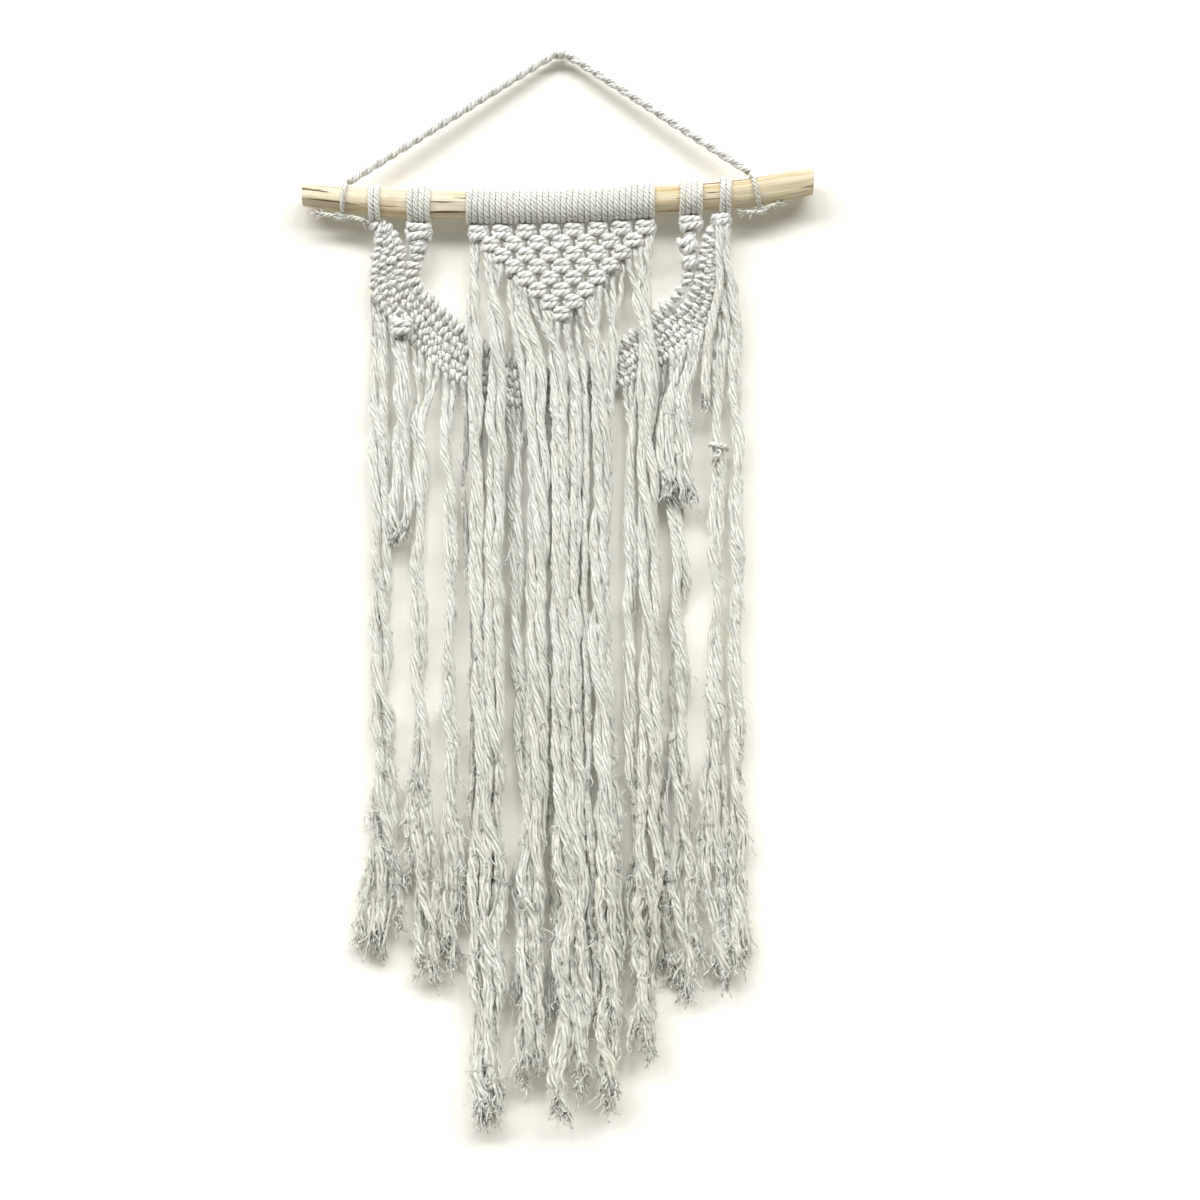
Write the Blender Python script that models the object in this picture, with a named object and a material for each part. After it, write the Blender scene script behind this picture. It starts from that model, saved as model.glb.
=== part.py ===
"""A macrame wall hanging on a peeled branch, with its hanger rope and wall pin.

The wall is the plane y = 0 and the hanging lies in front of it, at negative y. +Z is up and +X is
to the right as the front is seen. The origin is where the pin enters the wall. Sizes below are in
millimetres, and each mesh is scaled to metres when it is finished.
"""

import math
from collections import namedtuple

import bmesh
import bpy
from mathutils import Vector

MM = 0.001
CLEARANCE = 0.35  # between two pieces that touch on the real object
X_AXIS = Vector((1, 0, 0))
Y_AXIS = Vector((0, 1, 0))
Z_AXIS = Vector((0, 0, 1))

# ---- colours: red, green, blue, roughness -------------------------------------------------------
COTTON = (0.86, 0.86, 0.81, 0.95)
WOOD = (0.80, 0.68, 0.48, 0.75)
PIN_PLASTIC = (0.93, 0.93, 0.92, 0.25)

# ---- wall pin -----------------------------------------------------------------------------------
PIN_SHANK_RADIUS = 0.8
PIN_HEAD_RADIUS = 2.7
PIN_HEAD_Y = -11.6
PIN_SIDES = 12
PIN_HEAD_RINGS = 6
PIN_TIP_ANGLE = 0.35  # of the small flat at the front of the head, from the pin's axis

# ---- branch -------------------------------------------------------------------------------------
BRANCH_Y = -13.2
BRANCH_SIDES = 10
BranchStation = namedtuple("BranchStation", "x z radius lump")
BRANCH = (
    BranchStation(-170.0, -95.0, 7.2, 0.00),
    BranchStation(-163.0, -95.6, 7.7, 0.02),
    BranchStation(-146.0, -97.4, 8.3, 0.03),
    BranchStation(-128.0, -99.2, 8.9, 0.02),
    BranchStation(-111.0, -100.5, 9.2, 0.03),
    BranchStation(-90.0, -101.3, 9.2, 0.02),
    BranchStation(-69.0, -101.8, 9.2, 0.01),
    BranchStation(-35.0, -102.4, 8.9, 0.00),
    BranchStation(0.0, -102.2, 8.7, 0.00),
    BranchStation(35.0, -100.6, 8.9, 0.00),
    BranchStation(69.0, -97.8, 9.1, 0.02),
    BranchStation(88.0, -96.6, 9.0, 0.03),
    BranchStation(104.0, -95.4, 9.0, 0.02),
    BranchStation(121.0, -93.6, 9.3, 0.04),
    BranchStation(140.0, -90.6, 9.2, 0.03),
    BranchStation(156.0, -87.8, 9.0, 0.03),
    BranchStation(167.0, -86.0, 8.7, 0.00),
)

# ---- cord wraps round the branch (each lark's head shows two wraps) ------------------------------
WRAP_CREST = 3.0  # cord flattened against the wood
WRAP_VALLEY = 2.0  # between two turns
Wraps = namedtuple("Wraps", "name x_start x_end count")
HEADING = Wraps("centre_heading", -61.6, 62.6, 32)
SIDE_WRAPS = (
    Wraps("wraps_left_outer", -126.2, -118.4, 2),
    Wraps("wraps_left_inner", -100.6, -85.2, 4),
    Wraps("wraps_right_inner", 79.0, 94.0, 4),
    Wraps("wraps_right_outer", 105.4, 112.8, 2),
)

# ---- hanger rope: two cords twisted together ----------------------------------------------------
ROPE_RADIUS = 2.6
ROPE_HOLLOW_RADIUS = 1.8  # at the groove between the two cords
ROPE_SIDES = 6
ROPE_TURN = 20.0  # length of one full turn of the twist
ROPE_STEP = 3.0
ROPE_PIN_Y = -6.0
ROPE_BEND = 4.0  # half length of the rounded bend at the pin
ROPE_EYE_RADIUS = PIN_SHANK_RADIUS + CLEARANCE
ROPE_EYE_SIDES = 10

# ---- ties that hold the rope's ends under the branch --------------------------------------------
TIE_CORD_RADIUS = 1.6
TIE_SIDES = 6
TIE_RING_STEPS = 16
TIE_KNOT_FORWARD = 2.0
TIE_KNOT_SIDES = 7
TIE_TAIL_SIDES = 5
KnotStation = namedtuple("KnotStation", "offset radius")
TIE_KNOT = (
    KnotStation(-4.4, 1.3),
    KnotStation(-3.0, 2.8),
    KnotStation(0.0, 3.3),
    KnotStation(3.0, 2.8),
    KnotStation(4.4, 1.3),
)
Tie = namedtuple("Tie", "name top_x bottom_x knot_x knot_drop tails")
Tail = namedtuple("Tail", "x z y radius")
LEFT_TIE = Tie(
    "hanger_tie_left", -141.4, -143.4, -145.0, 1.2,
    (
        (Tail(-145.0, 0.0, 0.0, 1.6), Tail(-151.0, 0.8, -1.0, 1.5), Tail(-158.0, 1.6, -2.0, 2.2)),
        (Tail(-145.0, 0.0, 0.0, 1.6), Tail(-137.0, -0.4, -1.0, 1.6), Tail(-128.4, -2.8, -2.0, 2.6)),
    ),
)
RIGHT_TIE = Tie(
    "hanger_tie_right", 126.4, 131.6, 132.6, 1.2,
    (
        (Tail(132.6, 0.0, 0.0, 1.6), Tail(128.0, -1.2, -1.0, 1.5), Tail(122.6, -1.6, -1.0, 2.0)),
        (Tail(132.6, 0.0, 0.0, 1.6), Tail(138.6, 2.4, -1.0, 1.5), Tail(143.6, 3.8, 0.0, 1.9)),
    ),
)

# ---- centre net: alternating square knots, one fewer in each row --------------------------------
NET_ROWS = 8
NET_X = 1.2
NET_Y = -13.2
NET_PITCH_X = 15.75
NET_PITCH_Z = 7.86
NET_TOP_Z = -118.4  # middle of the first row, under the middle of the branch
NET_TILT = 0.034  # the first row follows the branch, and the last hangs level
KnotRow = namedtuple("KnotRow", "z half_width inner_x front back")
KNOT = (
    KnotRow(3.6, 5.4, 0.6, 1.7, 1.6),
    KnotRow(1.8, 6.6, 3.2, 3.5, None),
    KnotRow(0.0, 5.9, 3.0, 2.3, 2.8),
    KnotRow(-1.8, 6.6, 3.2, 3.5, None),
    KnotRow(-3.6, 5.4, 0.6, 1.7, 1.6),
)
KNOT_EDGE_DEPTH = 0.5  # share of a row's depth that is left at its ends

# ---- fringe -------------------------------------------------------------------------------------
# side and root say which knot of the net, or which station of a side band, the lock leaves. After
# a drop of settle it hangs at x and y. It drifts sideways by drift on its way down to end_z.
Lock = namedtuple("Lock", "side root settle x y width drift end_z")
FRONT_Y = -16.6
BACK_Y = -11.7
BEHIND_Y = -6.0
LOCK_DEPTH = 4.0
LOCK_ROOT_WIDTH = 3.8
LOCK_FIRST_DROP = 7.0
LOCK_TIP_SHARE = 0.55
HANG_TOP_Z = -150.0  # sections of all locks lie at the same heights, so that neighbours sway alike
HANG_STEP = 40.0
CRIMP_TOP_Z = -430.0  # below it the cords are unravelled and crimped
CRIMP_STEP = 24.0
CRIMP_FADE = 100.0  # the crimp grows to its full swing over this drop
CRIMP_SWAY = 1.5
CRIMP_WAVE = 4.4 * CRIMP_STEP
SLOW_SWAY = 0.9
SLOW_WAVE = 300.0
LOCK_SWELL = 0.04  # share by which a lock is now thicker, now thinner
LOCK_TURN = 0.08  # radians by which its sections turn to and fro
NET_LOCKS = (
    Lock("left", 1, 45.0, -59.2, FRONT_Y, 6.6, 1.0, -700.0),
    Lock("left", 2, 45.0, -52.6, BACK_Y, 6.8, 1.5, -712.0),
    Lock("left", 3, 45.0, -45.6, FRONT_Y, 6.8, 2.5, -690.0),
    Lock("left", 4, 45.0, -38.6, BACK_Y, 7.0, 3.0, -672.0),
    Lock("left", 5, 45.0, -20.6, FRONT_Y, 7.0, 0.5, -664.0),
    Lock("left", 6, 45.0, -13.0, BACK_Y, 7.0, -1.0, -690.0),
    Lock("left", 7, 45.0, -5.0, FRONT_Y, 7.0, 1.5, -676.0),
    Lock("left", 8, 45.0, 1.4, BACK_Y, 6.4, 3.0, -706.0),
    Lock("right", 8, 45.0, 8.2, FRONT_Y, 6.6, 4.0, -668.0),
    Lock("right", 7, 45.0, 13.0, BACK_Y, 5.6, 4.5, -694.0),
    Lock("right", 6, 45.0, 17.2, FRONT_Y, 4.6, 4.0, -640.0),
    Lock("right", 5, 45.0, 24.2, BACK_Y, 7.0, 4.0, -692.0),
    Lock("right", 4, 45.0, 31.0, FRONT_Y, 7.0, 4.0, -700.0),
    Lock("right", 3, 45.0, 50.2, BACK_Y, 6.8, 0.0, -668.0),
    Lock("right", 2, 45.0, 55.8, FRONT_Y, 6.8, -1.0, -640.0),
    Lock("right", 1, 45.0, 61.4, BACK_Y, 5.8, 0.0, -610.0),
)

# ---- side bands: rows of hitches that swing down behind the centre fringe and meet there --------
BAND_COLUMNS = 11  # five ridges, with a groove between each two
BAND_SPLIT = 4  # the groove at which the band parts into two arms under its wraps
BAND_CREST = 2.6
BAND_BACK_CREST = 2.0
BAND_GROOVE = 1.6
BAND_EDGE = 1.5
BAND_LOBE = 0.45  # each hitch stands out by this much more or less than the next
# Low is the edge away from the middle, high the edge to it. An arm hangs from one group of wraps.
Station = namedtuple("Station", "low_x low_z high_x high_z y")
LEFT_OUTER_ARM = (
    Station(-125.2, -112.6, -119.0, -112.7, -13.2),
    Station(-122.2, -117.6, -112.4, -117.8, -13.0),
    Station(-120.4, -123.6, -107.4, -124.6, -12.6),
    Station(-123.0, -130.4, -103.4, -131.2, -12.2),
)
LEFT_INNER_ARM = (
    Station(-100.2, -113.9, -86.2, -114.3, -13.2),
    Station(-100.8, -122.6, -85.8, -122.8, -13.2),
    Station(-96.6, -127.8, -89.6, -128.0, -12.8),
    Station(-98.2, -132.4, -89.8, -132.6, -12.4),
)
LEFT_BAND = (
    Station(-124.4, -137.0, -90.0, -137.2, -11.8),
    Station(-125.0, -146.0, -90.2, -146.4, -11.2),
    Station(-125.2, -155.6, -89.2, -153.8, -10.4),
    Station(-121.4, -165.0, -84.2, -158.6, -9.6),
    Station(-114.6, -172.6, -77.0, -163.6, -8.6),
    Station(-106.8, -181.6, -70.6, -169.4, -7.6),
    Station(-99.0, -191.4, -64.0, -175.6, -6.6),
    Station(-91.0, -199.0, -58.0, -181.2, -6.0),
    Station(-83.2, -205.6, -52.4, -185.4, -6.0),
    Station(-74.6, -212.0, -46.4, -189.4, -6.0),
    Station(-66.0, -217.4, -39.4, -193.4, -6.0),
    Station(-56.6, -222.6, -31.4, -197.0, -6.0),
    Station(-46.2, -227.2, -23.6, -200.2, -6.0),
    Station(-35.0, -231.2, -15.6, -203.2, -6.0),
    Station(-23.6, -234.0, -8.0, -205.4, -6.0),
    Station(-11.6, -236.0, 0.2, -207.0, -6.0),
    Station(4.6, -236.8, 9.0, -208.2, -6.0),
)
RIGHT_OUTER_ARM = (
    Station(112.0, -107.6, 106.0, -108.0, -13.2),
    Station(111.4, -115.4, 101.2, -114.6, -13.0),
    Station(109.4, -122.6, 96.6, -122.2, -12.6),
    Station(108.8, -130.4, 94.0, -130.2, -12.2),
)
RIGHT_INNER_ARM = (
    Station(93.2, -109.0, 79.8, -109.8, -13.2),
    Station(92.4, -117.6, 79.4, -117.6, -13.2),
    Station(89.2, -121.6, 80.8, -121.6, -12.8),
    Station(91.6, -130.2, 79.0, -130.4, -12.4),
)
RIGHT_BAND = (
    Station(108.6, -137.0, 79.2, -138.0, -11.8),
    Station(108.6, -146.2, 78.4, -146.4, -11.2),
    Station(108.4, -156.0, 75.8, -153.4, -10.4),
    Station(106.8, -165.6, 70.4, -159.2, -9.0),
    Station(102.8, -174.0, 64.6, -165.0, -7.6),
    Station(96.2, -181.6, 59.2, -170.6, -6.2),
    Station(88.4, -188.8, 53.8, -175.4, -6.0),
    Station(80.4, -195.4, 48.6, -179.6, -6.0),
    Station(72.4, -201.4, 43.4, -183.0, -6.0),
    Station(63.8, -206.8, 38.0, -187.2, -6.0),
    Station(55.2, -211.8, 32.8, -191.6, -6.0),
    Station(46.6, -217.0, 27.4, -196.2, -6.0),
    Station(36.8, -222.8, 21.0, -200.8, -6.0),
    Station(25.4, -229.4, 14.8, -205.0, -6.0),
    Station(5.2, -236.6, 9.6, -208.4, -6.0),
)
# root is the number of the band station above the lock.
LEFT_LOCKS = (
    Lock("left", 2, 20.0, -124.2, -8.6, 5.4, -1.0, -592.0),
    Lock("left", 3, 30.0, -117.4, -8.6, 5.6, -1.0, -574.0),
    Lock("left", 4, 25.0, -107.8, -13.0, 6.2, 1.0, -316.0),
    Lock("left", 5, 25.0, -100.8, -13.0, 6.2, 0.5, -323.0),
    Lock("left", 6, 70.0, -96.2, -7.0, 6.0, 1.5, -604.0),
    Lock("left", 7, 70.0, -88.8, -7.0, 6.2, 1.5, -612.0),
    Lock("left", 8, 70.0, -77.0, BEHIND_Y, 4.8, 0.5, -600.0),
    Lock("left", 9, 70.0, -70.8, BEHIND_Y, 4.8, 0.5, -588.0),
    Lock("left", 10, 70.0, -63.4, BEHIND_Y, 4.0, 0.0, -560.0),
    Lock("left", 11, 70.0, -54.4, BEHIND_Y, 6.6, 0.0, -604.0),
    Lock("left", 12, 70.0, -43.0, BEHIND_Y, 7.2, 0.0, -620.0),
    Lock("left", 13, 70.0, -32.4, BEHIND_Y, 6.6, 1.0, -640.0),
    Lock("left", 14, 70.0, -24.6, BEHIND_Y, 6.6, 1.0, -628.0),
    Lock("left", 15, 70.0, -4.0, BEHIND_Y, 8.0, 0.0, -640.0),
)
RIGHT_LOCKS = (
    Lock("right", 0, 10.0, 120.4, -8.4, 6.4, 0.5, -606.0),
    Lock("right", 1, 12.0, 112.6, -8.4, 6.4, 0.5, -614.0),
    Lock("right", 3, 30.0, 104.0, -8.4, 7.2, 0.5, -622.0),
    Lock("right", 4, 20.0, 96.0, -9.6, 5.0, 0.0, -237.0),
    Lock("right", 5, 18.0, 87.6, -13.4, 6.6, -3.0, -290.0),
    Lock("right", 6, 70.0, 83.6, -6.8, 6.4, 1.5, -624.0),
    Lock("right", 7, 18.0, 77.0, -13.4, 7.6, -3.0, -295.0),
    Lock("right", 8, 70.0, 76.0, -6.8, 6.4, 1.5, -630.0),
    Lock("right", 9, 70.0, 66.6, BEHIND_Y, 6.0, 1.5, -606.0),
    Lock("right", 10, 70.0, 52.4, BEHIND_Y, 6.4, 0.0, -612.0),
    Lock("right", 11, 70.0, 45.2, BEHIND_Y, 6.4, 0.0, -618.0),
    Lock("right", 12, 70.0, 30.4, BEHIND_Y, 8.0, 0.0, -640.0),
    Lock("right", 13, 70.0, 15.6, BEHIND_Y, 8.0, 0.0, -636.0),
)


# ---- helpers ------------------------------------------------------------------------------------
def material(name, red, green, blue, roughness):
    """A plain Principled material."""
    made = bpy.data.materials.new(name)
    made.use_nodes = True
    shader = made.node_tree.nodes["Principled BSDF"]
    shader.inputs["Base Color"].default_value = (red, green, blue, 1.0)
    shader.inputs["Roughness"].default_value = roughness
    made.diffuse_color = (red, green, blue, 1.0)
    return made


def finish(name, mesh_builder, look, sharp_angle=50.0):
    """Turns a bmesh in millimetres into a named object in metres."""
    bmesh.ops.recalc_face_normals(mesh_builder, faces=mesh_builder.faces)
    bmesh.ops.scale(mesh_builder, vec=(MM, MM, MM), verts=mesh_builder.verts)
    mesh = bpy.data.meshes.new(name)
    mesh_builder.to_mesh(mesh)
    mesh_builder.free()
    mesh.materials.append(material(name, *look))
    mesh.shade_smooth()
    mesh.set_sharp_from_angle(angle=math.radians(sharp_angle))
    made = bpy.data.objects.new(name, mesh)
    bpy.context.scene.collection.objects.link(made)
    return made


def add_ring(builder, points):
    return [builder.verts.new(point) for point in points]


def bridge(builder, first, second):
    """Side faces between two rings with the same number of vertices."""
    count = len(first)
    for index in range(count):
        after = (index + 1) % count
        builder.faces.new((first[index], first[after], second[after], second[index]))


def add_tube(builder, rings):
    """A closed tube through rings of points, with flat ends."""
    made = [add_ring(builder, points) for points in rings]
    for first, second in zip(made, made[1:]):
        bridge(builder, first, second)
    builder.faces.new(made[0])
    builder.faces.new(made[-1])
    return made


def lerp(first, second, share):
    return first + (second - first) * share


def circle(centre, side_axis, up_axis, radius, sides):
    """Points round centre, in the plane of the two axes."""
    points = []
    for index in range(sides):
        angle = 2.0 * math.pi * index / sides
        points.append(centre + side_axis * (radius * math.cos(angle)) + up_axis * (radius * math.sin(angle)))
    return points


def union(target, others):
    """Joins closed pieces into target, and leaves the others out of the model."""
    for index, other in enumerate(others):
        joint = target.modifiers.new(f"join_{index}", "BOOLEAN")
        joint.operation = "UNION"
        joint.object = other
        other.hide_render = True
        other.display_type = "WIRE"


# ---- wall pin -----------------------------------------------------------------------------------
def build_pin():
    """A ball-headed pin: its shank starts at the wall plane, and its head stands off the wall."""
    builder = bmesh.new()
    neck = math.asin(PIN_SHANK_RADIUS / PIN_HEAD_RADIUS)
    profile = [(0.0, PIN_SHANK_RADIUS)]
    for index in range(PIN_HEAD_RINGS + 1):
        angle = lerp(neck, math.pi - PIN_TIP_ANGLE, index / PIN_HEAD_RINGS)
        profile.append((PIN_HEAD_Y + PIN_HEAD_RADIUS * math.cos(angle), PIN_HEAD_RADIUS * math.sin(angle)))
    rings = [circle(Y_AXIS * y, X_AXIS, Z_AXIS, radius, PIN_SIDES) for y, radius in profile]
    add_tube(builder, rings)
    return finish("pin", builder, PIN_PLASTIC, 60.0)


# ---- branch and wraps ---------------------------------------------------------------------------
def branch_ring(station, extra=0.0):
    """The branch's outline at a station, with its vertices offset outwards by extra."""
    points = []
    for index in range(BRANCH_SIDES):
        angle = 2.0 * math.pi * index / BRANCH_SIDES - 0.5 * math.pi
        swell = 1.0 + station.lump * math.sin(3.0 * angle + 0.05 * station.x)
        radius = station.radius * swell + extra
        points.append(
            Vector((station.x, BRANCH_Y + radius * math.cos(angle), station.z + radius * math.sin(angle)))
        )
    return points


def branch_ring_at(x, extra=0.0):
    """The same outline anywhere along the branch."""
    for before, after in zip(BRANCH, BRANCH[1:]):
        if x <= after.x:
            share = (x - before.x) / (after.x - before.x)
            first, second = branch_ring(before, extra), branch_ring(after, extra)
            return [lerp(a, b, share) for a, b in zip(first, second)]
    raise ValueError(f"x = {x} is past the end of the branch")


def build_branch():
    builder = bmesh.new()
    add_tube(builder, [branch_ring(station) for station in BRANCH])
    return finish("branch", builder, WOOD, 60.0)


def build_wraps(wraps):
    """A sleeve round the branch with one ridge for each turn of cord."""
    builder = bmesh.new()
    pitch = (wraps.x_end - wraps.x_start) / wraps.count
    outer = []
    for index in range(2 * wraps.count + 1):
        depth = WRAP_CREST if index % 2 else WRAP_VALLEY
        outer.append(branch_ring_at(wraps.x_start + 0.5 * pitch * index, CLEARANCE + depth))
    bends = [station.x for station in BRANCH if wraps.x_start < station.x < wraps.x_end]
    inner = [branch_ring_at(x, CLEARANCE) for x in (wraps.x_end, *reversed(bends), wraps.x_start)]
    rings = [add_ring(builder, points) for points in outer + inner]
    for first, second in zip(rings, rings[1:] + rings[:1]):
        bridge(builder, first, second)
    return finish(wraps.name, builder, COTTON)


# ---- hanger -------------------------------------------------------------------------------------
def tie_loop(tie):
    """Middle and radius of the centreline of a tie's loop, which clears the branch all round."""
    ring = branch_ring_at(0.5 * (tie.top_x + tie.bottom_x))
    middle = sum(ring, Vector()) / len(ring)
    reach = max((point - middle).length for point in ring) + CLEARANCE + TIE_CORD_RADIUS
    return middle, reach


def rope_end(tie):
    """Where the rope, on its way down from the pin, meets the top of a tie's loop."""
    middle, reach = tie_loop(tie)
    top = Vector((tie.top_x, middle.y, middle.z + reach))
    to_pin = Vector((-top.x, 0, -top.z)).normalized()
    return top + to_pin * (TIE_CORD_RADIUS + CLEARANCE)


def rope_point(left_end, right_end, share):
    """The rope's centreline, from 0 at the left end to 1 at the right, over the pin at the top."""
    x = lerp(left_end.x, right_end.x, share)
    end = left_end if x < 0.0 else right_end
    full = math.hypot(end.x, ROPE_BEND) - ROPE_BEND
    away = (math.hypot(x, ROPE_BEND) - ROPE_BEND) / full
    return Vector((x, lerp(ROPE_PIN_Y, end.y, away), end.z * away))


def rope_ring(centre, along, turn):
    """A ring with two lobes, turned by an angle."""
    up = along.cross(-Y_AXIS).normalized()
    side = up.cross(along).normalized()
    points = []
    for corner in range(ROPE_SIDES):
        angle = 2.0 * math.pi * corner / ROPE_SIDES
        radius = lerp(ROPE_HOLLOW_RADIUS, ROPE_RADIUS, math.cos(angle - turn) ** 2)
        points.append(centre + side * (radius * math.cos(angle)) + up * (radius * math.sin(angle)))
    return points


def build_rope():
    """Two twisted cords: the twist is raised in the points, and the pin goes between the cords."""
    left_end, right_end = rope_end(LEFT_TIE), rope_end(RIGHT_TIE)
    steps = round((left_end.length + right_end.length) / ROPE_STEP)
    centres = [rope_point(left_end, right_end, index / steps) for index in range(steps + 1)]
    rings = []
    travelled = 0.0
    for index, centre in enumerate(centres):
        before, after = centres[max(index - 1, 0)], centres[min(index + 1, steps)]
        if index:
            travelled += (centre - before).length
        turn = 2.0 * math.pi * travelled / ROPE_TURN
        rings.append(rope_ring(centre, (after - before).normalized(), turn))
    builder = bmesh.new()
    add_tube(builder, rings)
    rope = finish("hanger_rope", builder, COTTON)
    reach = Y_AXIS * (3.0 * ROPE_RADIUS)
    middle = Y_AXIS * ROPE_PIN_Y
    cutter_builder = bmesh.new()
    ends = (middle - reach, middle + reach)
    add_tube(cutter_builder, [circle(end, X_AXIS, Z_AXIS, ROPE_EYE_RADIUS, ROPE_EYE_SIDES) for end in ends])
    cutter = finish("rope_eye_cutter", cutter_builder, COTTON)
    cutter.hide_render = True
    cutter.display_type = "WIRE"
    eye = rope.modifiers.new("eye", "BOOLEAN")
    eye.operation = "DIFFERENCE"
    eye.object = cutter
    return rope


def build_tie(tie):
    """A loop round the branch, knotted underneath, with two short tails."""
    middle, reach = tie_loop(tie)
    builder = bmesh.new()
    rings = []
    for index in range(TIE_RING_STEPS):
        angle = 2.0 * math.pi * index / TIE_RING_STEPS
        outward = Vector((0, math.cos(angle), math.sin(angle)))
        lean = X_AXIS * (0.5 * (tie.top_x - tie.bottom_x) * math.sin(angle))
        ring = circle(middle + outward * reach + lean, outward, X_AXIS, TIE_CORD_RADIUS, TIE_SIDES)
        rings.append(add_ring(builder, ring))
    for first, second in zip(rings, rings[1:] + rings[:1]):
        bridge(builder, first, second)
    loop = finish(tie.name, builder, COTTON)
    knot = Vector((tie.knot_x, middle.y - TIE_KNOT_FORWARD, middle.z - reach - tie.knot_drop))
    knot_rings = []
    for station in TIE_KNOT:
        centre = knot + X_AXIS * station.offset
        knot_rings.append(circle(centre, Y_AXIS, Z_AXIS, station.radius, TIE_KNOT_SIDES))
    knot_builder = bmesh.new()
    add_tube(knot_builder, knot_rings)
    parts = [finish(tie.name + "_knot", knot_builder, COTTON)]
    for index, tail in enumerate(tie.tails):
        tail_rings = []
        for point in tail:
            centre = Vector((point.x, knot.y + point.y, knot.z + point.z))
            tail_rings.append(circle(centre, Y_AXIS, Z_AXIS, point.radius, TIE_TAIL_SIDES))
        tail_builder = bmesh.new()
        add_tube(tail_builder, tail_rings)
        parts.append(finish(f"{tie.name}_tail_{index}", tail_builder, COTTON))
    union(loop, parts)
    return loop


# ---- fringe locks -------------------------------------------------------------------------------
def lock_section(centre, width, depth, turn):
    """Four corners: front low-x, front high-x, back high-x, back low-x."""
    across = Vector((math.cos(turn), math.sin(turn), 0.0)) * (0.5 * width)
    inward = Vector((-math.sin(turn), math.cos(turn), 0.0)) * (0.5 * depth)
    front, back = centre - inward, centre + inward
    return [front - across, front + across, back + across, back - across]


def lock_levels(top_z, end_z):
    """Heights of a lock's sections, from just under its root to its end."""
    levels = []
    z = HANG_TOP_Z
    while z > end_z + 0.4 * CRIMP_STEP:
        if z < top_z - 1.5 * LOCK_FIRST_DROP:
            levels.append(z)
        z -= HANG_STEP if z > CRIMP_TOP_Z else CRIMP_STEP
    return [top_z - LOCK_FIRST_DROP, *levels, end_z]


def lock_sway(z):
    """Sideways swing that all locks share: slow where they hang, tight where they are crimped."""
    crimp = CRIMP_SWAY * min(max((CRIMP_TOP_Z - z) / CRIMP_FADE, 0.0), 1.0)
    return SLOW_SWAY * math.sin(math.tau * z / SLOW_WAVE) + crimp * math.sin(math.tau * z / CRIMP_WAVE)


def add_lock(builder, root, lock, phase):
    """Replaces the face root, given as four vertices in a section's order, with a hanging lock."""
    face = builder.faces.get(root)
    if face:
        builder.faces.remove(face)
    start = sum((vertex.co for vertex in root), Vector()) / 4.0
    tilt = [Z_AXIS * (0.6 * (vertex.co.z - start.z)) for vertex in root]
    rings = [root]
    for number, z in enumerate(lock_levels(start.z, lock.end_z)):
        fallen = start.z - z
        share = min(fallen / lock.settle, 1.0)
        settle = share * share * (3.0 - 2.0 * share)
        down = fallen / (start.z - lock.end_z)
        centre = Vector((
            lerp(start.x, lock.x, settle) + lock.drift * down + settle * lock_sway(z),
            lerp(start.y, lock.y, settle),
            z,
        ))
        size = 1.0 + LOCK_SWELL * math.sin(1.7 * number + phase)
        if z == lock.end_z:
            size = LOCK_TIP_SHARE
        width = lerp(LOCK_ROOT_WIDTH, lock.width, settle) * size
        turn = LOCK_TURN * settle * math.sin(1.3 * number + phase)
        points = lock_section(centre, width, LOCK_DEPTH * size, turn)
        if number == 0:
            points = [point + lean for point, lean in zip(points, tilt)]
        rings.append(add_ring(builder, points))
    for first, second in zip(rings, rings[1:]):
        bridge(builder, first, second)
    builder.faces.new(rings[-1])


# ---- centre net ---------------------------------------------------------------------------------
def knot_place(row, column):
    """Middle of a square knot. Row 1 has NET_ROWS knots, and each row below has one fewer."""
    across = column - 0.5 * (NET_ROWS - row)
    x = NET_X + NET_PITCH_X * across
    level = NET_TOP_Z - NET_PITCH_Z * (row - 1)
    return Vector((x, NET_Y, level + NET_TILT * x * (1.0 - (row - 1) / (NET_ROWS - 1))))


def add_knot(builder, place):
    """A block with two bars across its front. Returns its four leg faces as vertex lists."""
    front, back = [], []
    for row in KNOT:
        xs = (-row.half_width, -row.inner_x, row.inner_x, row.half_width)
        shares = (KNOT_EDGE_DEPTH, 1.0, 1.0, KNOT_EDGE_DEPTH)
        if row.inner_x < 1.0:
            shares = (1.0, 1.0, 1.0, 1.0)
        points = [Vector((x, -row.front * share, row.z)) for x, share in zip(xs, shares)]
        front.append(add_ring(builder, [place + point for point in points]))
        if row.back is not None:
            points = [Vector((x, row.back * share, row.z)) for x, share in zip(xs, shares)]
            back.append(add_ring(builder, [place + point for point in points]))
    for grid in (front, back):
        for upper, lower in zip(grid, grid[1:]):
            for index in range(3):
                builder.faces.new((upper[index], upper[index + 1], lower[index + 1], lower[index]))
    for index in (0, 3):
        edge, rear = [row[index] for row in front], [row[index] for row in back]
        for corners in (
            (edge[0], rear[0], edge[1]), (edge[1], rear[0], rear[1]), (edge[1], rear[1], edge[2]),
            (edge[2], rear[1], edge[3]), (edge[3], rear[1], rear[2]), (edge[3], rear[2], edge[4]),
        ):
            builder.faces.new(corners)
    legs = {}
    for name, upper, lower in (("top", front[0], back[0]), ("bottom", front[-1], back[-1])):
        for index, side in enumerate(("left", "middle", "right")):
            corners = (upper[index], upper[index + 1], lower[index + 1], lower[index])
            builder.faces.new(corners)
            legs[name, side] = corners
    return legs


def join_legs(builder, upper, lower):
    """Cords that run from one knot down into the next."""
    for corners in (upper, lower):
        builder.faces.remove(builder.faces.get(corners))
    bridge(builder, upper, lower)


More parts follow.
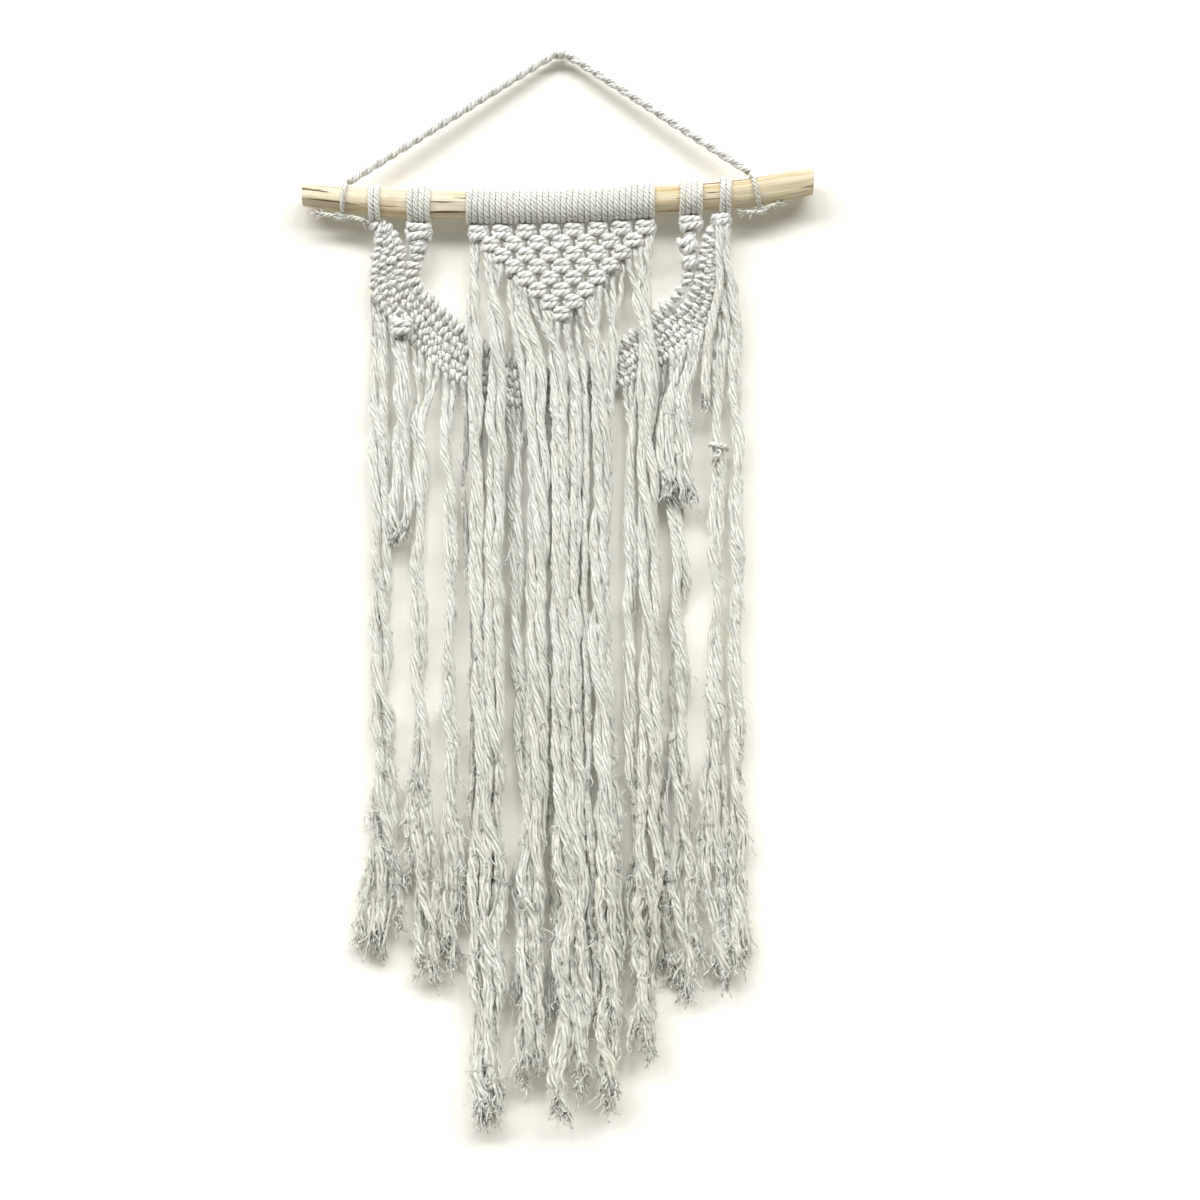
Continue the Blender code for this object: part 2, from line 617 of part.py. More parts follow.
def build_net():
    builder = bmesh.new()
    legs = {}
    for row in range(1, NET_ROWS + 1):
        for column in range(NET_ROWS + 1 - row):
            legs[row, column] = add_knot(builder, knot_place(row, column))
    for row in range(1, NET_ROWS):
        for column in range(NET_ROWS - row):
            below = legs[row + 1, column]
            join_legs(builder, legs[row, column]["bottom", "right"], below["top", "left"])
            join_legs(builder, legs[row, column + 1]["bottom", "left"], below["top", "right"])
    for phase, lock in enumerate(NET_LOCKS):
        column = 0 if lock.side == "left" else NET_ROWS - lock.root
        add_lock(builder, legs[lock.root, column]["bottom", lock.side], lock, phase)
    return finish("centre_net", builder, COTTON)


# ---- side bands ---------------------------------------------------------------------------------
def band_depth(column, station, last):
    """How far the band's face stands from its middle plane, in front and behind."""
    if column in (0, last):
        return BAND_EDGE, BAND_EDGE
    if column % 2 == 0:
        return BAND_GROOVE, BAND_GROOVE
    lobe = BAND_LOBE * (1.0 if (station + column // 2) % 2 else -1.0)
    return BAND_CREST + lobe, BAND_BACK_CREST


def band_row(builder, station, number, first, last):
    """Front and back vertices of the columns first to last, evenly between the station's edges."""
    low = Vector((station.low_x, station.y, station.low_z))
    high = Vector((station.high_x, station.y, station.high_z))
    front, back = {}, {}
    for column in range(first, last + 1):
        place = lerp(low, high, (column - first) / (last - first))
        forward, behind = band_depth(column, number, BAND_COLUMNS - 1)
        front[column] = builder.verts.new(place - Y_AXIS * forward)
        back[column] = builder.verts.new(place + Y_AXIS * behind)
    return front, back


def build_band(name, outer_arm, inner_arm, band, locks):
    """A ribbed band that parts into two arms at its top, with its fringe on the low edge."""
    builder = bmesh.new()
    last = BAND_COLUMNS - 1
    outer = [band_row(builder, s, n, 0, BAND_SPLIT) for n, s in enumerate(outer_arm)]
    inner = [band_row(builder, s, n, BAND_SPLIT, last) for n, s in enumerate(inner_arm)]
    main = [band_row(builder, s, n + len(outer_arm), 0, last) for n, s in enumerate(band)]
    strips = ((outer + main[:1], 0, BAND_SPLIT), (inner + main[:1], BAND_SPLIT, last), (main, 0, last))
    for rows, first, final in strips:
        for (front, back), (next_front, next_back) in zip(rows, rows[1:]):
            for near, far in ((front, next_front), (back, next_back)):
                for column in range(first, final):
                    builder.faces.new((near[column], near[column + 1], far[column + 1], far[column]))
            for edge in (first, final):
                builder.faces.new((front[edge], next_front[edge], next_back[edge], back[edge]))
    ends = ((outer[0], 0, BAND_SPLIT), (inner[0], BAND_SPLIT, last), (main[-1], 0, last))
    for (front, back), first, final in ends:
        for column in range(first, final):
            builder.faces.new((front[column], front[column + 1], back[column + 1], back[column]))
    for phase, lock in enumerate(locks):
        front, back = main[lock.root]
        next_front, next_back = main[lock.root + 1]
        if lock.side == "left":
            root = (front[0], next_front[0], next_back[0], back[0])
        else:
            root = (next_front[0], front[0], back[0], next_back[0])
        add_lock(builder, root, lock, phase + 0.5)
    return finish(name, builder, COTTON)


def main():
    for old in list(bpy.data.objects):
        bpy.data.objects.remove(old, do_unlink=True)
    build_pin()
    build_branch()
    build_wraps(HEADING)
    for wraps in SIDE_WRAPS:
        build_wraps(wraps)
    build_rope()
    for tie in (LEFT_TIE, RIGHT_TIE):
        build_tie(tie)
    build_net()
    build_band("side_band_left", LEFT_OUTER_ARM, LEFT_INNER_ARM, LEFT_BAND, LEFT_LOCKS)
    build_band("side_band_right", RIGHT_OUTER_ARM, RIGHT_INNER_ARM, RIGHT_BAND, RIGHT_LOCKS)


main()
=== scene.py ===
"""Looks of a macrame wall hanging: its cords, knots, fringe, branch and pin.

Lengths are in millimetres until a mesh is finished, which scales it to metres. The stage is in
metres. The wall is the plane y = 0, the front faces -y, and the pin enters the wall at the origin.
"""

import math
from collections import namedtuple

import bpy
import numpy as np
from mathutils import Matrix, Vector


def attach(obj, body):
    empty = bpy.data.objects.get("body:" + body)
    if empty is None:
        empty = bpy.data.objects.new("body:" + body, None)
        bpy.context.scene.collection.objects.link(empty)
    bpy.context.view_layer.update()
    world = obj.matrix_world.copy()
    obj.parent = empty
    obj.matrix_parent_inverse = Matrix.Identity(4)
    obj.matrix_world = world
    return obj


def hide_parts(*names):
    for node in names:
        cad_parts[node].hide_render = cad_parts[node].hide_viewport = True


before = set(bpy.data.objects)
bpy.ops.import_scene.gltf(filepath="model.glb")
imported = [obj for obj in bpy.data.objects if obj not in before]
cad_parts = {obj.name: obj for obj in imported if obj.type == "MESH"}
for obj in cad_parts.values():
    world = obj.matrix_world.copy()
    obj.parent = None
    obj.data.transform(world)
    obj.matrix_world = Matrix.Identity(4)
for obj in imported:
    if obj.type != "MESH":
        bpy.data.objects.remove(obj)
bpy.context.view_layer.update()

MM = 0.001
TAU = 2 * math.pi

# ---- cord ----
CORD_RADIUS = 2
PLY_OFFSET = 0.53  # of the cord's radius, from its centre to the centre of a ply
PLY_RADIUS = 0.52  # of the cord's radius
SOFT_PLY_OFFSET = 0.38  # in knots, where the plies press together
SOFT_PLY_RADIUS = 0.66
PLY_SIDES = 5
TWIST = -1  # the front of a hanging cord runs down to the right
TIGHT_PITCH = 13
WRAP_PITCH = 8.7
HANG_PITCH = 18
TIE_PITCH = 10
THIN_PITCH = 9
FIBRE_PITCH = 45  # the fibres run almost along a ply
FIBRE_SHIFT = 400  # along the fibres, so that no two plies look the same

# ---- branch ----
BRANCH_Y = -13.2
Station = namedtuple("Station", "x z radius lump")
BRANCH = [Station(*row) for row in (
    (-170, -95, 7.2, 0), (-163, -95.6, 7.7, 0.02), (-146, -97.4, 8.3, 0.03), (-128, -99.2, 8.9, 0.02),
    (-111, -100.5, 9.2, 0.03), (-90, -101.3, 9.2, 0.02), (-69, -101.8, 9.2, 0.01), (-35, -102.4, 8.9, 0),
    (0, -102.2, 8.7, 0), (35, -100.6, 8.9, 0), (69, -97.8, 9.1, 0.02), (88, -96.6, 9, 0.03),
    (104, -95.4, 9, 0.02), (121, -93.6, 9.3, 0.04), (140, -90.6, 9.2, 0.03), (156, -87.8, 9, 0.03),
    (167, -86, 8.7, 0),
)]
BRANCH_SIDES = 48
BRANCH_STEP = 2

# ---- wraps ----
Wraps = namedtuple("Wraps", "name x_start x_end count")
HEADING = Wraps("centre_heading", -61.6, 62.6, 32)
SIDE_WRAPS = (
    Wraps("wraps_left_outer", -126.2, -118.4, 2),
    Wraps("wraps_left_inner", -100.6, -85.2, 4),
    Wraps("wraps_right_inner", 79, 94, 4),
    Wraps("wraps_right_outer", 105.4, 112.8, 2),
)
WRAP_LIFT = 1.75  # from the wood to the cord's centre
WRAP_SQUASH = 0.75

# ---- centre net ----
NET_ROWS = 8
NET_X = 1.2
NET_Y = -13.2
NET_PITCH_X = 15.75
NET_PITCH_Z = 7.86
NET_TOP_Z = -118.4
NET_TILT = 0.034

# ---- fringe ----
# A rope of the fringe: cords that have lost their twist and lie round each other. Roots are the (x, z)
# where its cords leave the knots, and route is (z, x) down its middle. Front is how far its middle
# lies in front of the wall, and lift is how much further near its roots.
Rope = namedtuple("Rope", "width front roots route end_z lift", defaults=(0,))
STRAND_RADIUS = 1.4
STRANDS = 6  # round each cord, with a core inside them
STRAND_DIP = 0.3
CORD_SPREAD = 2.1  # from a cord's middle to its strands
CORE_RADIUS = 1.8
CORD_WIDTH = 4.5  # of a rope's width, for each cord
CORD_TWIST = 42
FRINGE_STEP = 5
FRINGE_MID_STEP = 3.6
FRINGE_FINE_STEP = 2.5  # near the roots, and where the plies crimp
TWIST_LOSS = 0.7  # of the twist, where a rope is fully loose
LIFT_FALL = 75
CRIMP_REACH = 0.42
CRIMP_PITCH = 11
CRIMP_DELAY = 130  # below LOOSE_TOP_Z
ROPE_WIDTH = 1.18  # of the widths below
ROPE_FLATNESS = 0.6
ROPE_TWIST = 230
ROOT_SETTLE = 46
ROPE_TOP_Z = -190
LOOSE_TOP_Z = -380
LOOSE_FULL_Z = -610
NET_ROPES = (
    (9.6, 14, ((-57.6, -121), (-55, -122)), ((-150, -57.6), (-184, -55.4), (-230, -55.6), (-263, -54.6),
     (-329, -55.6), (-395, -54.8), (-428, -52.2), (-494, -50.8), (-560, -54), (-626, -53), (-700, -51.6)),
     -712),
    (12.4, 16, ((-49.2, -129), (-46.8, -130), (-41.6, -137.4), (-38.8, -138)), ((-150, -44.4),
     (-184, -41.6), (-230, -42.2), (-296, -42.6), (-329, -43.6), (-395, -43.2), (-461, -43.6),
     (-560, -44.2), (-626, -45), (-700, -46.2)), -704),
    (6, 13, ((-33.6, -145), (-31.4, -146)), ((-170, -31.4), (-200, -27.4), (-224, -22), (-263, -17.6),
     (-362, -19), (-494, -19.6), (-626, -22.4)), -655),
    (12.6, 15.6, ((-29.6, -148), (-26, -153), (-23.6, -153.6)), ((-168, -25.4), (-184, -19.6),
     (-211, -14.6), (-230, -16.4), (-263, -14.2), (-296, -12.6), (-362, -14.6), (-428, -13.8),
     (-494, -15.6), (-560, -18.4), (-626, -19.4), (-680, -21.6)), -682),
    (11.4, 16.2, ((-17.6, -161), (-10, -169), (-7.4, -170), (-1.4, -176.4)), ((-180, -5.6), (-196, -1.6),
     (-230, -1), (-263, 0), (-296, 1), (-362, 0), (-428, 1.4), (-494, 1.4), (-560, 3.6), (-626, 4),
     (-700, 1)), -706),
    (8.8, 14.4, ((3.2, -177.4), (5.2, -176.6)), ((-196, 9), (-230, 9.8), (-263, 10.4), (-329, 9.8),
     (-362, 8.8), (-428, 11.2), (-494, 11.4), (-560, 13.2), (-626, 13.4), (-690, 16.4)), -688),
    (4.8, 12.4, ((10.6, -169.4),), ((-196, 15.6), (-230, 17.2), (-296, 17), (-362, 16.2), (-428, 18.6),
     (-560, 20), (-640, 22)), -640),
    (12, 16, ((13.4, -168.6), (18.6, -161.4), (21.4, -160.4), (26.4, -153.4)), ((-176, 23.6),
     (-191, 26.2), (-230, 27.2), (-263, 28.2), (-296, 28.6), (-329, 25.6), (-362, 26.2), (-395, 23.8),
     (-428, 27.2), (-494, 30.2), (-560, 31.6), (-626, 35.4), (-690, 30.6)), -698),
    (6, 13.4, ((29.4, -152), (34.4, -145), (41.6, -137)), ((-170, 36.6), (-191, 35.6), (-230, 33.4),
     (-263, 32), (-362, 30), (-494, 36), (-600, 38)), -640),
    (13, 15.4, ((45, -135.4), (49.6, -128.6), (53, -127.6), (57.6, -120.4), (60.4, -119)), ((-150, 54),
     (-165, 55.6), (-184, 57.4), (-230, 58.2), (-296, 57.8), (-329, 58.2), (-362, 59.4), (-428, 59.6),
     (-494, 58), (-560, 58.4), (-610, 57.6), (-664, 55)), -664),
)
LEFT_ROPES = (
    (6.4, 8.4, ((-119.6, -450),), ((-450, -119.6), (-500, -122), (-540, -126.6), (-575, -130.6),
     (-600, -132.6)), -592),
    (4.2, 9.6, ((-115, -470),), ((-470, -115), (-520, -111), (-560, -107), (-590, -104.6)), -580),
    (4.2, 9, ((-94, -440),), ((-440, -94), (-480, -97.6), (-520, -100.6), (-550, -102.2)), -548),
    (4.6, 8.6, ((-90, -460),), ((-460, -90), (-500, -86.6), (-550, -82.6), (-600, -79.6)), -604),
    (4.2, 8.6, ((-72, -470),), ((-470, -72), (-520, -67.6), (-560, -64.6)), -572),
    (12.8, 8.8, ((-124, -159), (-120.6, -164), (-116.4, -169.6)), ((-184, -119.8), (-230, -120.1),
     (-263, -119.8), (-329, -118.2), (-362, -117.5), (-395, -118.8), (-428, -117.2), (-461, -115.8),
     (-494, -115.5), (-560, -118.4), (-595, -123)), -600),
    (10.8, 13, ((-111.6, -174.4), (-107.4, -179), (-102.6, -184.4)), ((-184, -103.6), (-211, -103),
     (-230, -104.4), (-263, -105), (-296, -104.4), (-323, -104.6)), -323),
    (11.2, 8.6, ((-97.6, -190.6), (-92.4, -196.4), (-86.4, -201.6), (-81, -206)), ((-211, -92.6),
     (-230, -93.8), (-263, -93.2), (-296, -92.4), (-362, -93.4), (-395, -92.6), (-428, -91.8),
     (-494, -93.6), (-560, -92.4), (-600, -88)), -616),
    (9.2, 7.6, ((-76, -209.6), (-70.6, -213.4)), ((-224, -73.4), (-238, -75.2), (-263, -74.9),
     (-296, -73.3), (-329, -72), (-362, -72.9), (-395, -74.9), (-428, -73.3), (-494, -71.3),
     (-560, -72.6), (-600, -71.3)), -606),
    (3.2, 9, ((-64, -217),), ((-230, -59.4), (-263, -63), (-296, -64), (-329, -62), (-362, -58),
     (-460, -58)), -540),
    (7.4, 6.4, ((-58, -220.4), (-51, -224)), ((-240, -54.4), (-400, -54.6), (-600, -54)), -604),
    (7.4, 6.4, ((-44.6, -226.4), (-39.6, -228.6)), ((-240, -43), (-400, -44), (-600, -43.6)), -620),
    (10.4, 7.4, ((-35.6, -229.6), (-31.4, -230.8), (-26.8, -232), (-21.6, -233)), ((-237, -30.4),
     (-263, -29), (-296, -29.4), (-329, -28.7), (-362, -27.4), (-395, -28.4), (-428, -25.8),
     (-461, -23.8), (-494, -21.8), (-560, -24), (-620, -26)), -632),
    (8, 6.4, ((-12, -235), (-4, -236)), ((-250, -5), (-400, -4), (-600, -3)), -640),
)
RIGHT_ROPES = (
    (4.6, 9.6, ((106, -440),), ((-440, 106), (-500, 108.6), (-560, 110), (-600, 110.6)), -604),
    (4.6, 9, ((99, -440),), ((-440, 99), (-500, 95), (-560, 91.6), (-600, 91)), -600),
    (4.6, 8.6, ((73, -450),), ((-450, 73), (-520, 70), (-600, 69.6)), -606),
    (9.4, 9, ((106.6, -112), (108.4, -113), (110, -114)), ((-126, 109), (-140, 111.6), (-155, 114.2),
     (-170, 115), (-191, 115.5), (-230, 115.8), (-263, 117.5), (-296, 115.5), (-329, 117.8),
     (-362, 116.5), (-395, 115.5), (-428, 116.5), (-461, 117.8), (-494, 116.8), (-560, 117.5),
     (-600, 118.8)), -608, 8.6),
    (10.8, 9.6, ((106, -119), (108.4, -150), (106.8, -166)), ((-150, 107.6), (-170, 107), (-191, 105.6),
     (-230, 105.6), (-260, 104.3), (-296, 104), (-329, 102.3), (-395, 102), (-428, 102.3), (-461, 104.9),
     (-494, 101.6), (-560, 103), (-600, 106.9)), -618),
    (5.6, 14.6, ((104, -112), (105.6, -113)), ((-128, 105.4), (-150, 105.4), (-165, 103.6), (-180, 101),
     (-190, 97.6), (-198, 96.2), (-217, 96.7), (-237, 96.4)), -238, 4.4),
    (11.4, 13.2, ((93.4, -184.4), (89.6, -187.6), (86, -190.6)), ((-204, 83), (-230, 80.5), (-263, 81.8),
     (-300, 84.4), (-330, 85)), -300),
    (11.6, 13.4, ((81.8, -194), (78.4, -196.6), (74, -199.6)), ((-206, 71.6), (-230, 70), (-263, 70.6),
     (-294, 73.2)), -295),
    (14, 7.2, ((88, -190), (84, -193), (76.4, -199)), ((-224, 77), (-296, 76.6), (-329, 78.5),
     (-395, 79.2), (-428, 78.5), (-461, 79.9), (-494, 80.5), (-560, 79.2), (-620, 79.2)), -628),
    (6.4, 6.6, ((69.6, -203.6), (65, -206.6)), ((-224, 63.6), (-263, 61), (-362, 64), (-428, 64.6),
     (-560, 66)), -606),
    (9.8, 7.6, ((56.4, -212), (52, -214.4), (47, -217), (42.6, -219.6)), ((-230, 46), (-250, 46.9),
     (-296, 47.2), (-362, 47.9), (-388, 46.9), (-428, 46.2), (-461, 47.5), (-494, 50.2), (-560, 49.5),
     (-606, 52.8)), -618),
    (8, 6.4, ((33.6, -225), (28, -228.4)), ((-250, 30.4), (-400, 29.4), (-600, 33)), -640),
    (8, 6.4, ((20, -232), (12, -235)), ((-250, 15.6), (-400, 15), (-600, 18)), -636),
)

# Thin cords and yarns that stand off the fringe: radius and route.
NET_LOOSE_ENDS = (
    (0.6, ((-27.6, -22.6, -556), (-22.4, -25, -560.6), (-23.4, -26, -566), (-28, -25.4, -563.6),
        (-25.6, -24.6, -558.6))),
    (0.6, ((-12.4, -22, -577.6), (-5, -24.4, -581), (1.6, -25, -586.6))),
    (0.7, ((-30, -22, -322), (-32.4, -25, -330), (-35.6, -26, -337.6))),
    (0.7, ((-30, -22, -324), (-28.4, -25.4, -332), (-27, -26, -339.6))),
)
LEFT_LOOSE_ENDS = (
    (0.7, ((-64.7, -14.6, -256.7), (-67.6, -17, -268), (-61.4, -17.6, -281), (-64.9, -16.4, -296))),
    (1, ((-110.6, -13.6, -560), (-112.4, -14.6, -570), (-114.6, -15, -582), (-117.8, -14.8, -593.6))),
)
RIGHT_LOOSE_ENDS = (
    (1.9, ((99.4, -8.4, -259.6), (99.8, -12, -259.6), (101.6, -14.9, -259.8), (105, -15.8, -260.6),
        (108.2, -14.9, -261), (110, -12, -261.8), (110.4, -8.4, -262.4))),
    (1.1, ((103, -14.6, -262.4), (106, -16.4, -264.6), (104.8, -16.8, -267.6), (101.8, -16, -267.6),
        (101, -14.2, -271.4))),
)

# ---- side bands ----
# Low is the edge away from the middle, high the edge to it. Y is -6 where a band lies at the wall.
Edge = namedtuple("Edge", "low_x low_z high_x high_z y", defaults=(-6,))


def edges(*rows):
    return [Edge(*row) for row in rows]


LEFT_OUTER_ARM = edges(
    (-125.2, -112.6, -119, -112.7, -13.2), (-122.2, -117.6, -112.4, -117.8, -13),
    (-120.4, -123.6, -107.4, -124.6, -12.6), (-123, -130.4, -103.4, -131.2, -12.2),
    (-124.4, -137, -103.6, -137.2, -11.8),
)
LEFT_INNER_ARM = edges(
    (-100.2, -113.9, -86.2, -114.3, -13.2), (-100.8, -122.6, -85.8, -122.8, -13.2),
    (-96.6, -127.8, -89.6, -128, -12.8), (-98.2, -132.4, -89.8, -132.6, -12.4),
)
LEFT_BAND = edges(
    (-124.4, -137, -90, -137.2, -11.8), (-125, -146, -90.2, -146.4, -11.2),
    (-125.2, -155.6, -89.2, -153.8, -10.4), (-121.4, -165, -84.2, -158.6, -9.6),
    (-114.6, -172.6, -77, -163.6, -8.6), (-106.8, -181.6, -70.6, -169.4, -7.6),
    (-99, -191.4, -64, -175.6, -6.6), (-91, -199, -58, -181.2), (-83.2, -205.6, -52.4, -185.4),
    (-74.6, -212, -46.4, -189.4), (-66, -217.4, -39.4, -193.4), (-56.6, -222.6, -31.4, -197),
    (-46.2, -227.2, -23.6, -200.2), (-35, -231.2, -15.6, -203.2), (-23.6, -234, -8, -205.4),
    (-11.6, -236, 0.2, -207), (4.6, -236.8, 9, -208.2),
)
RIGHT_OUTER_ARM = edges(
    (112, -107.6, 106, -108, -13.2), (111.4, -115.4, 101.2, -114.6, -13),
    (109.4, -122.6, 96.6, -122.2, -12.6), (108.8, -130.4, 94, -130.2, -12.2),
    (108.6, -137, 93.6, -137.6, -11.8),
)
RIGHT_INNER_ARM = edges(
    (93.2, -109, 79.8, -109.8, -13.2), (92.4, -117.6, 79.4, -117.6, -13.2),
    (89.2, -121.6, 80.8, -121.6, -12.8), (91.6, -130.2, 79, -130.4, -12.4),
)
RIGHT_BAND = edges(
    (108.6, -137, 79.2, -138, -11.8), (108.6, -146.2, 78.4, -146.4, -11.2),
    (108.4, -156, 75.8, -153.4, -10.4), (106.8, -165.6, 70.4, -159.2, -9),
    (102.8, -174, 64.6, -165, -7.6), (96.2, -181.6, 59.2, -170.6, -6.2), (88.4, -188.8, 53.8, -175.4),
    (80.4, -195.4, 48.6, -179.6), (72.4, -201.4, 43.4, -183), (63.8, -206.8, 38, -187.2),
    (55.2, -211.8, 32.8, -191.6), (46.6, -217, 27.4, -196.2), (36.8, -222.8, 21, -200.8),
    (25.4, -229.4, 14.8, -205), (5.2, -236.6, 9.6, -208.4),
)

# ---- hanger ----
ROPE_TURN = 20
ROPE_LEFT = Vector((-139.75, -13.2, -86.4))
ROPE_RIGHT = Vector((124.77, -13.2, -79.8))
ROPE_PIN_Y = -6
ROPE_BEND = 4
ROPE_CORD_RADIUS = 2.05
ROPE_CORD_OFFSET = 1.05
ROPE_EYE_OFFSET = 2.4  # where the pin parts the two cords
TIE_RADIUS = 1.6
TIE_GAP = 0.2
# Tails are the x and z of a tail's middle and end, with z from the knot.
Tie = namedtuple("Tie", "name node top_x bottom_x knot_x tails")
TIES = (
    Tie("tie_left", "hanger_tie_left", -141.4, -143.4, -145,
        ((-151, 0.8, -158, 1.6), (-137, -0.4, -128.4, -2.8))),
    Tie("tie_right", "hanger_tie_right", 126.4, 131.6, 132.6,
        ((128, -1.2, 122.6, -1.6), (138.6, 2.4, 143.6, 3.8))),
)

# ---- pin ----
PIN_SHANK_RADIUS = 0.8
PIN_HEAD_RADIUS = 2.7
PIN_HEAD_Y = -11.6


# ---- mesh helpers ----
def unit(vectors):
    return vectors / np.maximum(np.linalg.norm(vectors, axis=-1, keepdims=True), 1e-12)


def frames(paths, first_side=None):
    """Side and up vectors along paths, (count, points, 3), which turn as little as they can."""
    tangent = unit(np.gradient(paths, axis=1))
    if first_side is None:
        start = tangent[:, 0]
        side = np.cross(start, (0, -1, 0))
        towards_wall = np.linalg.norm(side, axis=-1) < 0.2
        side[towards_wall] = np.cross(start[towards_wall], (1, 0, 0))
    else:
        side = np.broadcast_to(np.array(first_side, float), tangent[:, 0].shape)
    sides = np.empty_like(paths)
    for index in range(paths.shape[1]):
        along = tangent[:, index]
        side = side - (side * along).sum(-1, keepdims=True) * along
        side = side / np.sqrt((side * side).sum(-1, keepdims=True))
        sides[:, index] = side
    return sides, np.cross(tangent, sides)


def travelled(path):
    """Distance from the start to each point of a path."""
    return np.concatenate(([0], np.cumsum(np.linalg.norm(np.diff(path, axis=0), axis=1))))


def smooth_path(points, step):
    """A Catmull-Rom curve through points, with a point about every step."""
    points = np.array(points, float)
    ends = np.vstack((2 * points[0] - points[1], points, 2 * points[-1] - points[-2]))
    made = []
    for index in range(len(points) - 1):
        before, start, end, after = ends[index:index + 4]
        count = max(2, round(np.linalg.norm(end - start) / step))
        share = np.arange(count)[:, None] / count
        made.append(0.5 * (
            2 * start + (end - before) * share + (2 * before - 5 * start + 4 * end - after) * share ** 2
            + (3 * start - before - 3 * end + after) * share ** 3
        ))
    return np.vstack((*made, points[-1:]))


def ring_faces(rings, sides, inside_out=False):
    """Faces between rings of points, one ring after the other, and a face on each end."""
    faces = []
    for first in range(0, (rings - 1) * sides, sides):
        for index in range(sides):
            after = (index + 1) % sides
            faces.append((first + index, first + after, first + sides + after, first + sides + index))
    faces.append(tuple(reversed(range(sides))))
    faces.append(tuple(range((rings - 1) * sides, rings * sides)))
    return [(face[0], *face[:0:-1]) for face in faces] if inside_out else faces


def add_attribute(mesh, name, values):
    """Stores a number or a vector on each point."""
    kind, key = ("FLOAT_VECTOR", "vector") if values.ndim == 2 else ("FLOAT", "value")
    mesh.attributes.new(name, kind, "POINT").data.foreach_set(key, values.astype(np.float32).ravel())


def add_object(name, data):
    made = bpy.data.objects.new(name, data)
    bpy.context.scene.collection.objects.link(made)
    return made


def add_piece(name, mesh, look, node, crisp=None):
    """A piece that stands for one solid. Edges of more than crisp degrees stay sharp."""
    mesh.materials.append(look)
    mesh.shade_smooth()
    if crisp:
        mesh.set_sharp_from_angle(angle=math.radians(crisp))
    made = add_object(name, mesh)
    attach(made, "root")
    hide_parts(node)
    return made


class Yarn:
    """Gathers tubes of cord, and makes one mesh of them all."""

    def __init__(self, seed):
        self.random = np.random.default_rng(seed)
        self.points, self.quads, self.caps, self.threads, self.tones, self.reaches = [], [], [], [], [], []
        self.count = 0

    def tubes(self, paths, radius, sides=PLY_SIDES, tone=None, middle=None, full_reach=1):
        """Closed tubes along paths, (count, points, 3). radius is a number, or one for each point.

        Where the tubes lie round a middle line, each vertex knows how far out from it it is; the cotton's
        material paints shade on vertices that lie deep, in the grooves between plies.
        """
        paths = np.asarray(paths, float)
        count, length = paths.shape[:2]
        total = count * length * sides
        side, up = frames(paths)
        angle = TAU * np.arange(sides) / sides
        radius = np.broadcast_to(radius, (count, length))[:, :, None, None]
        around = np.cos(angle)[:, None] * side[:, :, None] + np.sin(angle)[:, None] * up[:, :, None]
        skin = paths[:, :, None] + radius * around
        self.points.append(skin.reshape(-1, 3))
        if middle is None:
            self.reaches.append(np.ones(total))
        else:
            self.reaches.append(np.linalg.norm(skin - middle[None, :, None], axis=-1).ravel() / full_reach)
        along = np.stack([travelled(path) for path in paths])
        wind = angle + TAU * along[:, :, None] / FIBRE_PITCH
        offset = self.random.uniform(0, FIBRE_SHIFT, (count, 1, 1))
        thread = np.stack((
            radius[..., 0] * np.cos(wind), radius[..., 0] * np.sin(wind),
            np.broadcast_to(along[:, :, None] + offset, wind.shape),
        ), axis=-1)
        self.threads.append(thread.reshape(-1, 3))
        if tone is None:
            tone = self.random.uniform(0, 1)
        self.tones.append(np.full(total, tone))
        ring = np.arange(sides)
        first = np.arange(length - 1)[:, None] * sides
        after = (ring + 1) % sides
        quad = np.stack((first + ring, first + after, first + sides + after, first + sides + ring), -1)
        for base in range(self.count, self.count + total, length * sides):
            self.quads.append(quad.reshape(-1, 4) + base)
            self.caps.append(base + ring[::-1])
            self.caps.append(base + (length - 1) * sides + ring)
        self.count += total

    def cord(self, path, radius, pitch=TIGHT_PITCH, first_side=None, squash=1, soft=False, shade_depth=1):
        """A three-ply twisted cord along a path. squash flattens it along its up vector.

        A soft cord's plies press together. A cord that lies deep between others can be painted darker all
        over, as painted shade.
        """
        path = np.asarray(path, float)
        side, up = frames(path[None], first_side)
        turn = self.random.uniform(0, TAU) + TWIST * TAU * travelled(path) / pitch
        offset, ply_radius = (SOFT_PLY_OFFSET, SOFT_PLY_RADIUS) if soft else (PLY_OFFSET, PLY_RADIUS)
        plies = []
        for ply in range(3):
            angle = (turn + TAU * ply / 3)[:, None]
            plies.append(path + radius * offset * (np.cos(angle) * side[0] + squash * np.sin(angle) * up[0]))
        full_reach = shade_depth * radius * (squash * offset + ply_radius)
        self.tubes(np.stack(plies), radius * ply_radius, middle=path, full_reach=full_reach)

    def finish(self, name, look, node):
        """Makes the piece, which stands for the given solid."""
        points, quads = np.vstack(self.points) * MM, np.vstack(self.quads)
        sizes = np.concatenate((np.full(len(quads), 4), [len(cap) for cap in self.caps])).astype(np.int32)
        corners = np.concatenate((quads.ravel(), *self.caps)).astype(np.int32)
        mesh = bpy.data.meshes.new(name)
        mesh.vertices.add(len(points))
        mesh.vertices.foreach_set("co", points.astype(np.float32).ravel())
        mesh.loops.add(len(corners))
        mesh.loops.foreach_set("vertex_index", corners)
        mesh.polygons.add(len(sizes))
        mesh.polygons.foreach_set("loop_start", np.concatenate(([0], np.cumsum(sizes)[:-1])).astype(np.int32))
        mesh.update(calc_edges=True)
        add_attribute(mesh, "thread", np.vstack(self.threads) * MM)
        add_attribute(mesh, "tone", np.concatenate(self.tones))
        add_attribute(mesh, "reach", np.concatenate(self.reaches))
        return add_piece(name, mesh, look, node)


